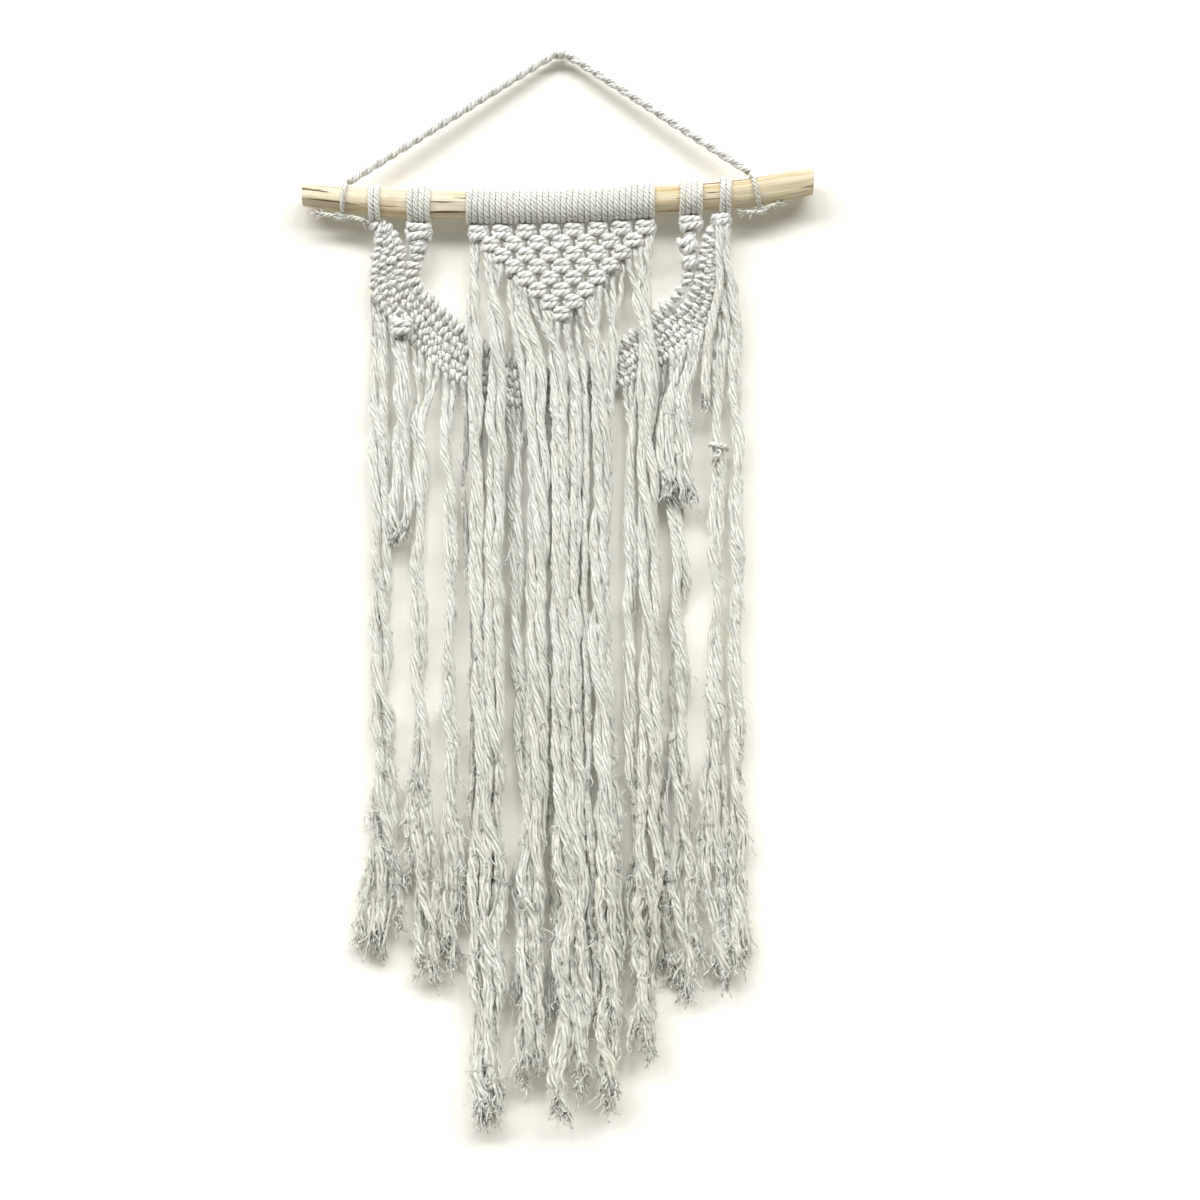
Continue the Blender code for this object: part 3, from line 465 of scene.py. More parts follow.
# ---- materials ----
BLACK = (0, 0, 0)
WHITE = (1, 1, 1)
COTTON_SHADE_TOP_Z = -0.30  # below this height the cotton is painted darker and darker downwards: painted shade on the lower fringe
COTTON_SHADE_FULL_Z = -0.50
COTTON_LOW_SHADE = (0.93, 0.925, 0.90)


class Nodes:
    """Short calls for building a material's nodes."""

    def __init__(self, name):
        self.material = bpy.data.materials.new(name)
        self.material.use_nodes = True
        self.tree = self.material.node_tree
        self.shader = self.tree.nodes["Principled BSDF"]

    def add(self, kind, settings=None, **inputs):
        node = self.tree.nodes.new(kind)
        for key, value in (settings or {}).items():
            setattr(node, key, value)
        for key, value in inputs.items():
            self.set(node, key.replace("_", " "), value)
        return node

    def set(self, node, key, value):
        """Links a socket to an input, or sets the input's own number or colour."""
        if isinstance(value, bpy.types.NodeSocket):
            self.tree.links.new(value, node.inputs[key])
        else:
            node.inputs[key].default_value = value

    def finish(self, **inputs):
        """Sets the shader's own inputs."""
        for key, value in inputs.items():
            self.set(self.shader, key.replace("_", " "), value)
        return self.material

    def place(self):
        return self.add("ShaderNodeTexCoord").outputs["Object"]

    def attribute(self, name, output):
        return self.add("ShaderNodeAttribute", {"attribute_name": name}).outputs[output]

    def noise(self, vector, scale, detail, roughness=0.55):
        node = self.add("ShaderNodeTexNoise", Vector=vector, Scale=scale, Detail=detail, Roughness=roughness)
        return node.outputs[0]

    def grain(self, thread, across, along, detail, roughness=0.55):
        """Noise that is drawn out along the thread."""
        drawn = self.add("ShaderNodeMapping", Vector=thread, Scale=(across, across, along)).outputs[0]
        return self.noise(drawn, 1, detail, roughness)

    def ramp(self, factor, *stops):
        node = self.add("ShaderNodeValToRGB", Fac=factor)
        ramp = node.color_ramp
        while len(ramp.elements) < len(stops):
            ramp.elements.new(0.5)
        for element, (place, colour) in zip(ramp.elements, stops):
            element.position = place
            element.color = (*colour, 1)
        return node.outputs[0]

    def mix(self, factor, first, second, blend="MIX"):
        node = self.add("ShaderNodeMix", {"data_type": "RGBA", "blend_type": blend})
        for index, value in ((0, factor), (6, first), (7, second)):
            self.set(node, index, (*value, 1) if isinstance(value, tuple) else value)
        return node.outputs[2]

    def tint(self, colour, factor, *stops):
        """A colour multiplied by a ramp."""
        return self.mix(1, colour, self.ramp(factor, *stops), "MULTIPLY")

    def math(self, operation, first, second, third=0.5):
        node = self.add("ShaderNodeMath", {"operation": operation})
        for index, value in enumerate((first, second, third)):
            self.set(node, index, value)
        return node.outputs[0]

    def bump(self, height, distance, strength, normal=None):
        node = self.add("ShaderNodeBump", Height=height, Distance=distance, Strength=strength)
        if normal:
            self.set(node, "Normal", normal)
        return node.outputs[0]


def cotton_material(name, light, shade, groove_shade, scatter):
    """Twisted cotton: yarns and fine fibres wind along each ply, and cords differ a little in tone. The
    colour also carries painted shade: in the grooves between plies, in the furrows of the yarns and on the
    lower fringe.
    """
    nodes = Nodes(name)
    thread = nodes.attribute("thread", "Vector")
    fibre = nodes.grain(thread, 1250, 300, 3, 0.65)
    yarn = nodes.grain(thread, 760, 150, 2, 0.5)
    place = nodes.place()
    patches = nodes.noise(place, 14, 2)
    # yarn and fibre streaks are darker where their bumps are low: partly the cotton's own streaky tone,
    # partly painted shade in the furrows
    colour = nodes.mix(nodes.ramp(yarn, (0.36, BLACK), (0.58, WHITE)), shade, light)
    colour = nodes.tint(colour, fibre, (0.34, (0.86, 0.855, 0.825)), (0.56, WHITE))
    colour = nodes.tint(colour, patches, (0.35, (0.95, 0.945, 0.925)), (0.65, WHITE))
    # painted shade: the colour darkens towards the groove colour where a vertex lies deep in its cord,
    # between plies and on cords painted darker all over
    colour = nodes.tint(colour, nodes.attribute("reach", "Fac"), (0.52, groove_shade), (0.92, WHITE))
    tone = nodes.attribute("tone", "Fac")
    colour = nodes.tint(colour, tone, (0, (0.93, 0.94, 0.94)), (0.5, WHITE), (1, (1, 0.985, 0.955)))
    # painted shade: the cotton is painted darker below one height, fully so below a lower one
    height = nodes.add("ShaderNodeSeparateXYZ", Vector=place).outputs["Z"]
    fall = nodes.add("ShaderNodeMapRange", Value=height, From_Min=COTTON_SHADE_FULL_Z, From_Max=COTTON_SHADE_TOP_Z)
    colour = nodes.tint(colour, fall.outputs[0], (0, COTTON_LOW_SHADE), (1, WHITE))
    ridges = nodes.bump(yarn, 0.0014, 0.8)
    return nodes.finish(
        Base_Color=colour, Roughness=0.85, Sheen_Weight=0.3, Sheen_Roughness=0.4, Subsurface_Weight=0.8,
        Subsurface_Radius=(1, 1, 1), Subsurface_Scale=scatter, Specular_IOR_Level=0.25,
        Normal=nodes.bump(fibre, 0.0005, 0.8, ridges))


def wood_material():
    """Peeled branch: pale sapwood with long grain, brown streaks, stains and fine cracks."""
    nodes = Nodes("peeled_wood")
    thread = nodes.attribute("thread", "Vector")
    grain = nodes.grain(thread, 260, 9, 5, 0.6)
    fine = nodes.grain(thread, 1500, 30, 4, 0.6)
    broad = nodes.grain(thread, 70, 7, 3)
    colour = nodes.ramp(grain, (0.30, (0.36, 0.25, 0.12)), (0.42, (0.60, 0.48, 0.29)),
                        (0.55, (0.70, 0.63, 0.46)), (0.75, (0.74, 0.69, 0.55)))
    paler = nodes.ramp(broad, (0.40, BLACK), (0.62, (0.75, 0.75, 0.75)))
    colour = nodes.mix(paler, colour, (0.73, 0.69, 0.58))
    streak = nodes.grain(thread, 420, 16, 2)
    crack = nodes.ramp(streak, (0.325, WHITE), (0.355, BLACK))
    colour = nodes.tint(colour, fine, (0.36, (0.84, 0.79, 0.68)), (0.58, WHITE))
    colour = nodes.mix(crack, colour, (0.16, 0.09, 0.045))
    stain = nodes.ramp(nodes.noise(nodes.place(), 30, 3), (0.58, BLACK), (0.72, (0.55, 0.55, 0.55)))
    colour = nodes.mix(stain, colour, (0.60, 0.43, 0.24))
    ridged = nodes.bump(grain, 0.0007, 0.5, nodes.bump(fine, 0.0002, 0.6))
    cracked = nodes.bump(nodes.math("SUBTRACT", 1, crack), 0.0006, 0.8, ridged)
    return nodes.finish(Base_Color=colour, Roughness=0.72, Specular_IOR_Level=0.3, Normal=cracked)


def pin_material():
    """Glossy white plastic with a faint moulded unevenness."""
    nodes = Nodes("pin_gloss")
    cloud = nodes.noise(nodes.place(), 300, 2)
    colour = nodes.ramp(cloud, (0.3, (0.88, 0.89, 0.90)), (0.7, (0.95, 0.95, 0.94)))
    roughness = nodes.math("MULTIPLY_ADD", cloud, 0.12, 0.5)
    return nodes.finish(Base_Color=colour, Roughness=roughness, Coat_Weight=0.6, Coat_Roughness=0.06)


COTTON = cotton_material(
    "cotton_cord", (0.905, 0.922, 0.882), (0.705, 0.712, 0.648), (0.60, 0.58, 0.51), 0.0011)
# The wrapped and knotted copies are painted lighter than the fringe's cotton, as painted light on the tight
# cords; the wraps' darker groove colour paints deeper shade in their ply grooves.
WRAPPED_COTTON = cotton_material(
    "cotton_wrapped", (0.965, 0.98, 0.95), (0.86, 0.87, 0.83), (0.46, 0.45, 0.37), 0.0018)
KNOTTED_COTTON = cotton_material(
    "cotton_knotted", (0.97, 0.985, 0.96), (0.925, 0.94, 0.905), (0.58, 0.56, 0.48), 0.0022)
WOOD = wood_material()
PIN_GLOSS = pin_material()


# ---- branch ----
BRANCH_WAVES = 6  # round the branch, each longer than the one before along it
BRANCH_RELIEF = 0.11
CUT_MIDDLE = 0.45  # of the radius, where a cut's inner ring lies
RIM_WEAR = 0.9
RIM_DEPTH = 0.5


def branch_section(x, angle):
    """Height of the branch's middle at x, and its radius at an angle from the back."""
    x = min(max(x, BRANCH[0].x), BRANCH[-1].x)
    for before, after in zip(BRANCH, BRANCH[1:]):
        if x <= after.x:
            break
    share = (x - before.x) / (after.x - before.x)
    radii = [s.radius * (1 + s.lump * np.sin(3 * angle + 0.05 * s.x)) for s in (before, after)]
    return before.z + (after.z - before.z) * share, radii[0] + (radii[1] - radii[0]) * share


def cut_end(ring, inward):
    """Rings of a square cut with a worn rim, from its middle out."""
    x, radius, z = ring
    return [(x, CUT_MIDDLE * radius, z), (x, radius - RIM_WEAR, z), (x + inward, radius, z)]


def build_branch():
    """The branch, with shallow long flats and dents."""
    angle = TAU * np.arange(BRANCH_SIDES) / BRANCH_SIDES
    phases = np.random.default_rng(11).uniform(0, TAU, (BRANCH_WAVES, 2))
    count = round((BRANCH[-1].x - BRANCH[0].x) / BRANCH_STEP)
    rings = []
    for x in np.linspace(BRANCH[0].x, BRANCH[-1].x, count + 1):
        z, radius = branch_section(x, angle)
        relief = 0
        for number, (first, second) in enumerate(phases):
            round_it = np.sin((number + 3) * angle + first + 0.9 * np.sin(x / 23 + second))
            relief += BRANCH_RELIEF * round_it * math.sin(x / (13 + 5 * number) + second)
        rings.append((x, radius + relief, z))
    rings[-1:] = reversed(cut_end(rings[-1], -RIM_DEPTH))
    rings[:1] = cut_end(rings[0], RIM_DEPTH)
    points, threads = [], []
    for x, radius, z in rings:
        along, back, up = np.full(BRANCH_SIDES, x), radius * np.cos(angle), radius * np.sin(angle)
        points.append(np.stack((along, BRANCH_Y + back, z + up), -1))
        threads.append(np.stack((back, up, along), -1))
    mesh = bpy.data.meshes.new("peeled_branch")
    mesh.from_pydata((np.vstack(points) * MM).tolist(), [], ring_faces(len(rings), BRANCH_SIDES))
    add_attribute(mesh, "thread", np.vstack(threads) * MM)
    add_piece("peeled_branch", mesh, WOOD, "branch", 40)


# ---- wraps ----
WRAP_FATNESS = 1.03
WRAP_LEAN = 0.35
WRAP_STEP = 1.75
LEG_DEGREES = range(284, -31, -12)  # from low at the front, over the top, to low at the back
BIGHT_DEGREES = -64
BIGHT_SHOULDER_DEGREES = -50


def wrap_point(x, degrees, lift):
    """A point lift off the branch, degrees round it from the back."""
    angle = math.radians(degrees)
    z, radius = branch_section(x, angle)
    reach = radius + lift
    return (x, BRANCH_Y + reach * math.cos(angle), z + reach * math.sin(angle))


def add_lark_head(yarn, first_x, second_x):
    """A folded cord: up the front, over the branch, and a bight low at the back for both legs."""
    lean = yarn.random.uniform(-WRAP_LEAN, WRAP_LEAN)

    def leg(x):
        return [wrap_point(x + lean * math.sin(math.radians(d)), d, WRAP_LIFT) for d in LEG_DEGREES]

    bight = [
        wrap_point(first_x + 0.2, BIGHT_SHOULDER_DEGREES, WRAP_LIFT + 0.4),
        wrap_point(0.5 * (first_x + second_x), BIGHT_DEGREES, WRAP_LIFT + 1.2),
        wrap_point(second_x - 0.2, BIGHT_SHOULDER_DEGREES, WRAP_LIFT + 0.4),
    ]
    path = smooth_path(leg(first_x) + bight + leg(second_x)[::-1], WRAP_STEP)
    yarn.cord(path, WRAP_FATNESS * CORD_RADIUS, WRAP_PITCH, first_side=(1, 0, 0), squash=WRAP_SQUASH)


def build_wraps():
    for number, group in enumerate((HEADING, *SIDE_WRAPS)):
        yarn = Yarn(10 + number)
        pitch = (group.x_end - group.x_start) / group.count
        for index in range(0, group.count, 2):
            first = group.x_start + (index + 0.5) * pitch
            add_lark_head(yarn, first, first + pitch)
        yarn.finish("cord_" + group.name, WRAPPED_COTTON, group.name)


# ---- square knots ----
KNOT_FATNESS = 1.36
KNOT_STEP = 1.7
KNOT_JITTER = 0.18
KNOT_SWING = 3  # degrees
NET_KNOT_SIZE = (0.91, 0.72, 0.98)
FILLER_RADIUS = 2.2
FILLER_STEP = 2.8
# the fillers are painted darker all over: painted shade in the holes of the net
FILLER_SHADE_DEPTH = 2
FILLERS = (
    ((-1.6, 0, 4.9), (-1.6, 0.3, 0), (-1.6, 0, -4.9)),
    ((1.6, 0, 4.9), (1.6, 0.3, 0), (1.6, 0, -4.9)),
)
OVER_LEFT = (
    (-3.4, 0.4, 5.4), (-4.5, -1.2, 3.9), (-3.9, -3.6, 2.7), (-1.6, -4.3, 2.4), (1.6, -4.3, 2),
    (4, -3.7, 1.4), (5.2, -1.1, 0.4), (5.1, -1.1, -0.6), (4, -3.7, -1.6), (1.6, -4.3, -2.1),
    (-1.6, -4.3, -2.4), (-3.9, -3.6, -2.7), (-4.5, -1, -3.8), (-3.4, 0.4, -5.4),
)
UNDER_RIGHT = (
    (3.4, 0.4, 5.4), (4.4, -1.4, 3.9), (4.9, -2.4, 2.2), (4.2, 0.8, 0.9), (1.6, 2.7, 1.6),
    (-2.3, 2.9, 1.8), (-4.6, 0.8, 1.4), (-5.2, -1.6, 0.2), (-4.5, 0.6, -1.2), (-1.6, 2.9, -1.8),
    (2.3, 2.8, -1.8), (4.4, 0.8, -1.5), (5, -1.8, -2.4), (4.3, -0.9, -3.8), (3.4, 0.4, -5.4),
)


def add_square_knot(yarn, place, size, tilt):
    """Two fillers, and two working cords that each cross them twice: two bars show in front."""
    turn = tilt + math.radians(yarn.random.uniform(-KNOT_SWING, KNOT_SWING))
    cos, sin = math.cos(turn), math.sin(turn)

    def put(points):
        made = []
        for point in points:
            x, y, z = np.array(point) * size + yarn.random.uniform(-KNOT_JITTER, KNOT_JITTER, 3)
            made.append((place[0] + x * cos - z * sin, place[1] + y, place[2] + x * sin + z * cos))
        return made

    for points in (OVER_LEFT, UNDER_RIGHT):
        yarn.cord(smooth_path(put(points), KNOT_STEP), KNOT_FATNESS * CORD_RADIUS, soft=True)
    for points in FILLERS:
        yarn.cord(smooth_path(put(points), FILLER_STEP), FILLER_RADIUS, shade_depth=FILLER_SHADE_DEPTH)


def knot_place(row, column):
    """Middle of a square knot. Row 1 has NET_ROWS knots, and each row below has one fewer."""
    x = NET_X + NET_PITCH_X * (column - 0.5 * (NET_ROWS - row))
    level = NET_TOP_Z - NET_PITCH_Z * (row - 1)
    return np.array((x, NET_Y, level + NET_TILT * x * (1 - (row - 1) / (NET_ROWS - 1))))


# ---- threads ----
HAIR_SIDES = 3
HAIR_Y = -0.8  # no hair lies closer to the wall
HAIR_TAPER = 0.45
CURL_TAPER = 0.5
THREAD_STEP = 2.8
THREAD_WANDER_LENGTH = 60
THREAD_CURL_LENGTH = 10.5
FLUFF_WANDER = 1
FLUFF_WANDER_LENGTH = 9.5
FLUFF_POINTS = 6
CURL_POINTS = 7
FRAY_THREADS = 4
# How an end opens: how many of its last points threads start from, how long they get and how far
# they curl, then how many hairs stand off it, how large they get, and how many loose yarns there are.
Fray = namedtuple("Fray", "points longest curl hairs hair_size yarns")
SHORT_FRAY = Fray(2, 8, 0.35, 1, 5, 0)
LONG_FRAY = Fray(5, 12, 1, 3, 9, 4)


def wander(random, along, reach, wave_length):
    """A smooth random drift in x and y."""
    drift = np.zeros((len(along), 3))
    for axis in (0, 1):
        for part in (1, 0.57, 0.31):
            phase = random.uniform(0, TAU)
            length = wave_length * part * random.uniform(0.85, 1.2)
            drift[:, axis] += reach * part * np.sin(TAU * along / length + phase)
    return drift


def add_hair(yarn, path, radius):
    """A thin thread that keeps off the wall."""
    path[:, 1] = np.minimum(path[:, 1], HAIR_Y)
    yarn.tubes(path[None], radius, HAIR_SIDES)


def add_thread(yarn, start, end, reach, curl, radius):
    """A thin thread from start to end, which wanders and curls more and more along its length."""
    length = np.linalg.norm(end - start)
    share = np.linspace(0, 1, max(4, round(length / THREAD_STEP)) + 1)
    path = start + (end - start) * share[:, None]
    path = path + wander(yarn.random, share * length, reach, THREAD_WANDER_LENGTH) * share[:, None]
    curled = wander(yarn.random, share * length, curl, THREAD_CURL_LENGTH)
    path = path + curled * np.minimum(1.6 * share, 1)[:, None]
    add_hair(yarn, path, radius * (1 - HAIR_TAPER * share))


def add_curl(yarn, start, size, radius):
    """A short loose hair or loop that stands off a strand."""
    random = yarn.random
    turns = random.uniform(0.3, 1.1) * TAU
    share = np.linspace(0, 1, CURL_POINTS)
    heading = unit(np.array((random.normal(), -abs(random.normal()) * 0.5, random.normal() - 0.5)))
    across = unit(np.cross(heading, random.normal(size=3)))
    bend = np.sin(turns * share)[:, None] * across
    bend = bend + (1 - np.cos(turns * share))[:, None] * np.cross(heading, across)
    path = start + size * (share[:, None] * heading * 0.8 + 0.45 * bend)
    add_hair(yarn, path, radius * (1 - CURL_TAPER * share))


def add_fluff(yarn, start):
    """A crinkled yarn that has come loose in front of a strand and lies down it."""
    random = yarn.random
    length = random.uniform(8, 17)
    share = np.linspace(0, 1, FLUFF_POINTS)
    heading = unit(np.array((random.normal(0.1, 0.28), random.normal(0, 0.12), -1)))
    off = (random.normal(0, 1.4), -random.uniform(1, 2.2), 0)
    path = start + off + length * share[:, None] * heading
    path = path + wander(random, share * length, FLUFF_WANDER, FLUFF_WANDER_LENGTH)
    path[:, 1] -= np.sin(math.pi * share)
    radius = random.uniform(0.4, 0.65) * np.sin(math.pi * (0.2 + 0.6 * share))
    yarn.tubes(path[None], radius, HAIR_SIDES)


def point_up(random, path, reach, power):
    """A point in the last part of a path, more often near its end. reach is that part's share."""
    return path[int(len(path) * (1 - reach * random.uniform(0, 1) ** power)) - 1]


def add_frays(yarn, path, fray):
    """The yarns that a strand opens into at its end, and a few that stand off it higher up."""
    random = yarn.random
    for _ in range(FRAY_THREADS):
        at = path[-1 - min(int(random.uniform(0, fray.points)), len(path) - 2)]
        drop = random.uniform(4, fray.longest)
        end = at + np.array((random.normal() * 0.3 * drop, random.normal() * 0.15 * drop, -drop))
        add_thread(yarn, at, end, 0.5, fray.curl, random.uniform(0.75, 1.2))
    for _ in range(fray.hairs):
        at = point_up(random, path, 0.45, 1.3)
        size = random.uniform(3, fray.hair_size)
        add_curl(yarn, at + random.normal(0, 0.5, 3), size, random.uniform(0.3, 0.55))
    for _ in range(fray.yarns):
        add_fluff(yarn, point_up(random, path, 0.62, 1.2))


def add_loose_end(yarn, radius, points):
    """A thin cord on a route of its own, with a few hairs at its end."""
    path = smooth_path(points, 2)
    yarn.cord(path, radius, THIN_PITCH, soft=True)
    for _ in range(3):
        add_curl(yarn, path[-1], yarn.random.uniform(2, 4), 0.3)


# ---- ropes of the fringe ----
MOST_CORDS = 3
SHORT_END_Z = -400  # a rope that ends above here is short, and frays less
SHORT_LOOSE = 60
SHORT_STAGGER = 6
CORD_STAGGER = 18
CORE_SHORTER = 9
STRAND_STAGGER = 12
LOOSE_MARGIN = 20  # below the height where strands begin to loosen
LOOSE_SPREAD = 1.8
LOOSE_SIZE = 0.18
LOOSE_CORE = 0.8
ROOT_TURN = 1.1  # from a cord's middle to its strands, where they leave the knots
ROOT_BACK = 1.4
STRAND_Y = -1.6  # no strand's middle lies closer to the wall
TIP_LENGTH = 7
CORE_SIDES = 5
STRAND_SIDES = 4
# Waves down a rope, as (height, length).
ROPE_TURN_WAVE = (0.7, 137)
ROPE_WIDTH_WAVE = (0.15, 61)
SWING_WAVE = (0.5, 43)
LOOSE_SWING_WAVE = (1.8, 77)
SIZE_WAVE = (0.12, 34)
FINE_SIZE_WAVE = (0.10, 17)
CORD_TURN_WAVE = (0.6, 55)
CURL_WAVE = (0.5, 47)
STRAND_WANDER = (0.2, 85)
LOOSE_WANDER = (0.5, 45)


def smoothstep(share):
    share = np.clip(share, 0, 1)
    return share * share * (3 - 2 * share)


def wave(shape, along, phase, stretch=1):
    """A sine wave of a height and length."""
    height, length = shape
    return height * np.sin(TAU * along / (length * stretch) + phase)


def route_x(route, z):
    """The x of a route at heights z, with its corners rounded."""
    levels = np.arange(-760, -90, 5)
    heights, places = zip(*reversed(route))
    window = np.hanning(9)
    line = np.pad(np.interp(levels, heights, places), 4, mode="edge")
    return np.interp(z, levels, np.convolve(line, window / window.sum(), mode="valid"))


def strand_heights(root_z, end_z, loose_z):
    """Heights down a strand, which are closer together near its root and where it crimps."""
    stops = [root_z]
    for stop in (root_z - ROOT_SETTLE, loose_z, loose_z - CRIMP_DELAY, end_z):
        stops.append(min(stops[-1], max(stop, end_z)))
    steps = (FRINGE_FINE_STEP, FRINGE_STEP, FRINGE_MID_STEP, FRINGE_FINE_STEP)
    runs = []
    for top, bottom, step in zip(stops, stops[1:], steps):
        if top - bottom > 0.5:
            runs.append(np.linspace(top, bottom, max(1, round((top - bottom) / step)), endpoint=False))
    return np.concatenate((*runs, [end_z]))


class FringeCord:
    """One cord of a rope: strands round a core, which loosen and fray towards their ends."""

    def __init__(self, yarn, rope, number, cords, roll, sway):
        self.yarn, self.random, self.rope = yarn, yarn.random, rope
        self.number, self.cords, self.roll, self.sway = number, cords, roll, sway
        width = ROPE_WIDTH * rope.width
        self.apart = max(0.5 * width - CORD_SPREAD - STRAND_RADIUS, 0) if cords > 1 else 0
        self.spread = min(CORD_SPREAD, 0.5 * width - STRAND_RADIUS)
        self.drift = self.random.uniform(0, TAU, 5)
        self.lump = self.random.uniform(0.85, 1.2, 3)
        self.twist = CORD_TWIST * self.random.uniform(0.85, 1.2)
        self.short = rope.end_z > SHORT_END_Z
        if self.short:
            self.loose_top, self.loose_full = rope.end_z + SHORT_LOOSE, rope.end_z
            self.end_z = rope.end_z + self.random.uniform(0, SHORT_STAGGER)
        else:
            self.loose_top, self.loose_full = LOOSE_TOP_Z, LOOSE_FULL_Z
            self.end_z = rope.end_z + CORD_STAGGER * number / cords * self.random.uniform(0.6, 1.3)

    def strand_end(self, core):
        """The height where a strand ends."""
        if core:
            return self.end_z + CORE_SHORTER
        if self.short:
            return self.end_z + self.random.uniform(0, CORE_SHORTER)
        return self.end_z + STRAND_STAGGER * self.random.uniform(0, 1) ** 1.3

    def middle(self, z, below, loose, front):
        """Where the middle of the cord runs, among the rope's other cords."""
        turn = self.roll + TAU * self.number / self.cords + TAU * below / ROPE_TWIST
        turn = turn + wave(ROPE_TURN_WAVE, below, self.drift[0])
        away = self.apart * (1 + wave(ROPE_WIDTH_WAVE, below, self.drift[1])) + LOOSE_SPREAD * loose
        swing = wave(SWING_WAVE, below, self.drift[2])
        swing = swing + loose * wave(LOOSE_SWING_WAVE, below, self.drift[3])
        x = route_x(self.rope.route, z) + away * np.cos(turn) + swing
        return x, away * ROPE_FLATNESS * np.sin(turn) - front

    def around(self, strand, below, loose):
        """How far a strand lies from the middle of the cord, in x and y."""
        random = self.random
        size = 1 + wave(SIZE_WAVE, below, self.drift[4], self.lump[0])
        size = size + wave(FINE_SIZE_WAVE, below, self.sway[0], self.lump[1]) + LOOSE_SIZE * loose
        wound_off = below[0] + np.cumsum(np.diff(below, prepend=below[0]) * (1 - TWIST_LOSS * loose))
        turn = TAU * strand / STRANDS + TAU * wound_off / self.twist
        turn = turn + wave(CORD_TURN_WAVE, below, self.sway[1], self.lump[2]) + random.uniform(-0.12, 0.12)
        dip = (STRAND_DIP, random.uniform(11, 22))
        reach = self.spread * size + wave(dip, below, random.uniform(0, TAU))
        crimp = TAU * below / (CRIMP_PITCH * random.uniform(0.8, 1.3)) + random.uniform(0, TAU)
        curl = CRIMP_REACH * loose * (1 + wave(CURL_WAVE, below, crimp[0]))
        return reach * np.cos(turn) + curl * np.cos(crimp), reach * np.sin(turn) + curl * np.sin(crimp)

    def add_strand(self, strand):
        """Adds a strand, or the core after the last of them."""
        random = self.random
        core = strand == STRANDS
        share = (self.number + (0.5 if core else strand / STRANDS)) / self.cords
        root_x, root_z = self.rope.roots[int(share * len(self.rope.roots))]
        z = strand_heights(root_z, self.strand_end(core), self.loose_top - LOOSE_MARGIN)
        fallen, below = root_z - z, ROPE_TOP_Z - z
        loose = smoothstep((self.loose_top - z) / (self.loose_top - self.loose_full))
        placed = smoothstep(fallen / ROOT_SETTLE)
        front = self.rope.front + self.rope.lift * (1 - smoothstep(fallen / LIFT_FALL))
        x, y = self.middle(z, below, loose, front)
        if not core:
            off_x, off_y = self.around(strand, below, loose)
            x, y = x + off_x, y + off_y
        line = np.stack((x, y, z), -1)
        if not core:
            line += wander(random, fallen, *STRAND_WANDER)
            line += loose[:, None] * wander(random, fallen, *LOOSE_WANDER)
        wound = TAU * (strand % 3) / 3 + strand // 3 + TAU * fallen / HANG_PITCH
        root_y = ROOT_BACK - front + ROOT_TURN * np.sin(wound)
        start = np.stack((root_x + ROOT_TURN * np.cos(wound), root_y, z), -1)
        path = start + (line - start) * placed[:, None]
        path[:, 1] = np.minimum(path[:, 1], STRAND_Y)
        along = travelled(path)
        if core:
            thick = 1 + (CORE_RADIUS - 1) * placed + LOOSE_CORE * loose
        else:
            swell = (0.14, random.uniform(15, 35))
            thick = STRAND_RADIUS * (1 + wave(swell, along, random.uniform(0, TAU)))
            thick = thick * (0.84 + 0.16 * placed) * (1 - 0.1 * loose)
        tip = np.sqrt(np.clip((along[-1] - along) / TIP_LENGTH, 0.02, 1))
        sides = CORE_SIDES if core else STRAND_SIDES
        self.yarn.tubes(path[None], thick * (0.35 + 0.65 * tip), sides, random.uniform(0, 1))
        if not core:
            add_frays(self.yarn, path, SHORT_FRAY if self.short else LONG_FRAY)


def add_ropes(yarn, ropes):
    for rope in [Rope(*row) for row in ropes]:
        cords = min(max(round(rope.width / CORD_WIDTH), 1), MOST_CORDS)
        roll = yarn.random.uniform(0, TAU)
        *sway, _ = yarn.random.uniform(0, TAU, 3)
        for number in range(cords):
            cord = FringeCord(yarn, rope, number, cords, roll, sway)
            for strand in range(STRANDS + 1):
                cord.add_strand(strand)


def build_fringe(name, seed, ropes, loose_ends, node):
    yarn = Yarn(seed)
    add_ropes(yarn, ropes)
    for radius, points in loose_ends:
        add_loose_end(yarn, radius, points)
    yarn.finish(name, COTTON, node)


def build_net():
    knots = Yarn(21)
    for row in range(1, NET_ROWS + 1):
        for column in range(NET_ROWS + 1 - row):
            add_square_knot(knots, knot_place(row, column), NET_KNOT_SIZE, NET_TILT)
    knots.finish("net_knots", KNOTTED_COTTON, "centre_net")
    build_fringe("net_fringe_left", 31, NET_ROPES[:5], NET_LOOSE_ENDS, "centre_net")
    build_fringe("net_fringe_right", 32, NET_ROPES[5:], (), "centre_net")


# ---- hitches of the bands ----
LADDER_END_Z = -166  # the inner arm's hitches are wide and level down to here
HITCH_BULGE = 2.5
HITCH_BACK = 2.4
HITCH_POINTS = 12
HITCH_SCATTER = 0.45
HITCH_SWING = 9  # degrees
BAR_RADIUS = 2.8
BAR_FORWARD = 0.4
# A row runs down an arm at one share of its width, then along the band at another.
Row = namedtuple("Row", "arm arm_across band_across half lean radius pitch lift")
HITCH_ROWS = (
    Row("outer", 0.12, 0.05, 1.9, 17, 2.2, 4.9, -0.4),
    Row("outer", 0.38, 0.22, 1.8, 13, 2.2, 4.9, -0.7),
    Row("outer", 0.64, 0.38, 1.8, 17, 2.2, 4.9, -0.7),
    Row("outer", 0.90, 0.55, 2.2, 15, 2.35, 5, -0.5),
    Row("inner", 0.50, 0.80, 3.3, 10, 2.45, 5.4, 0.5),
)
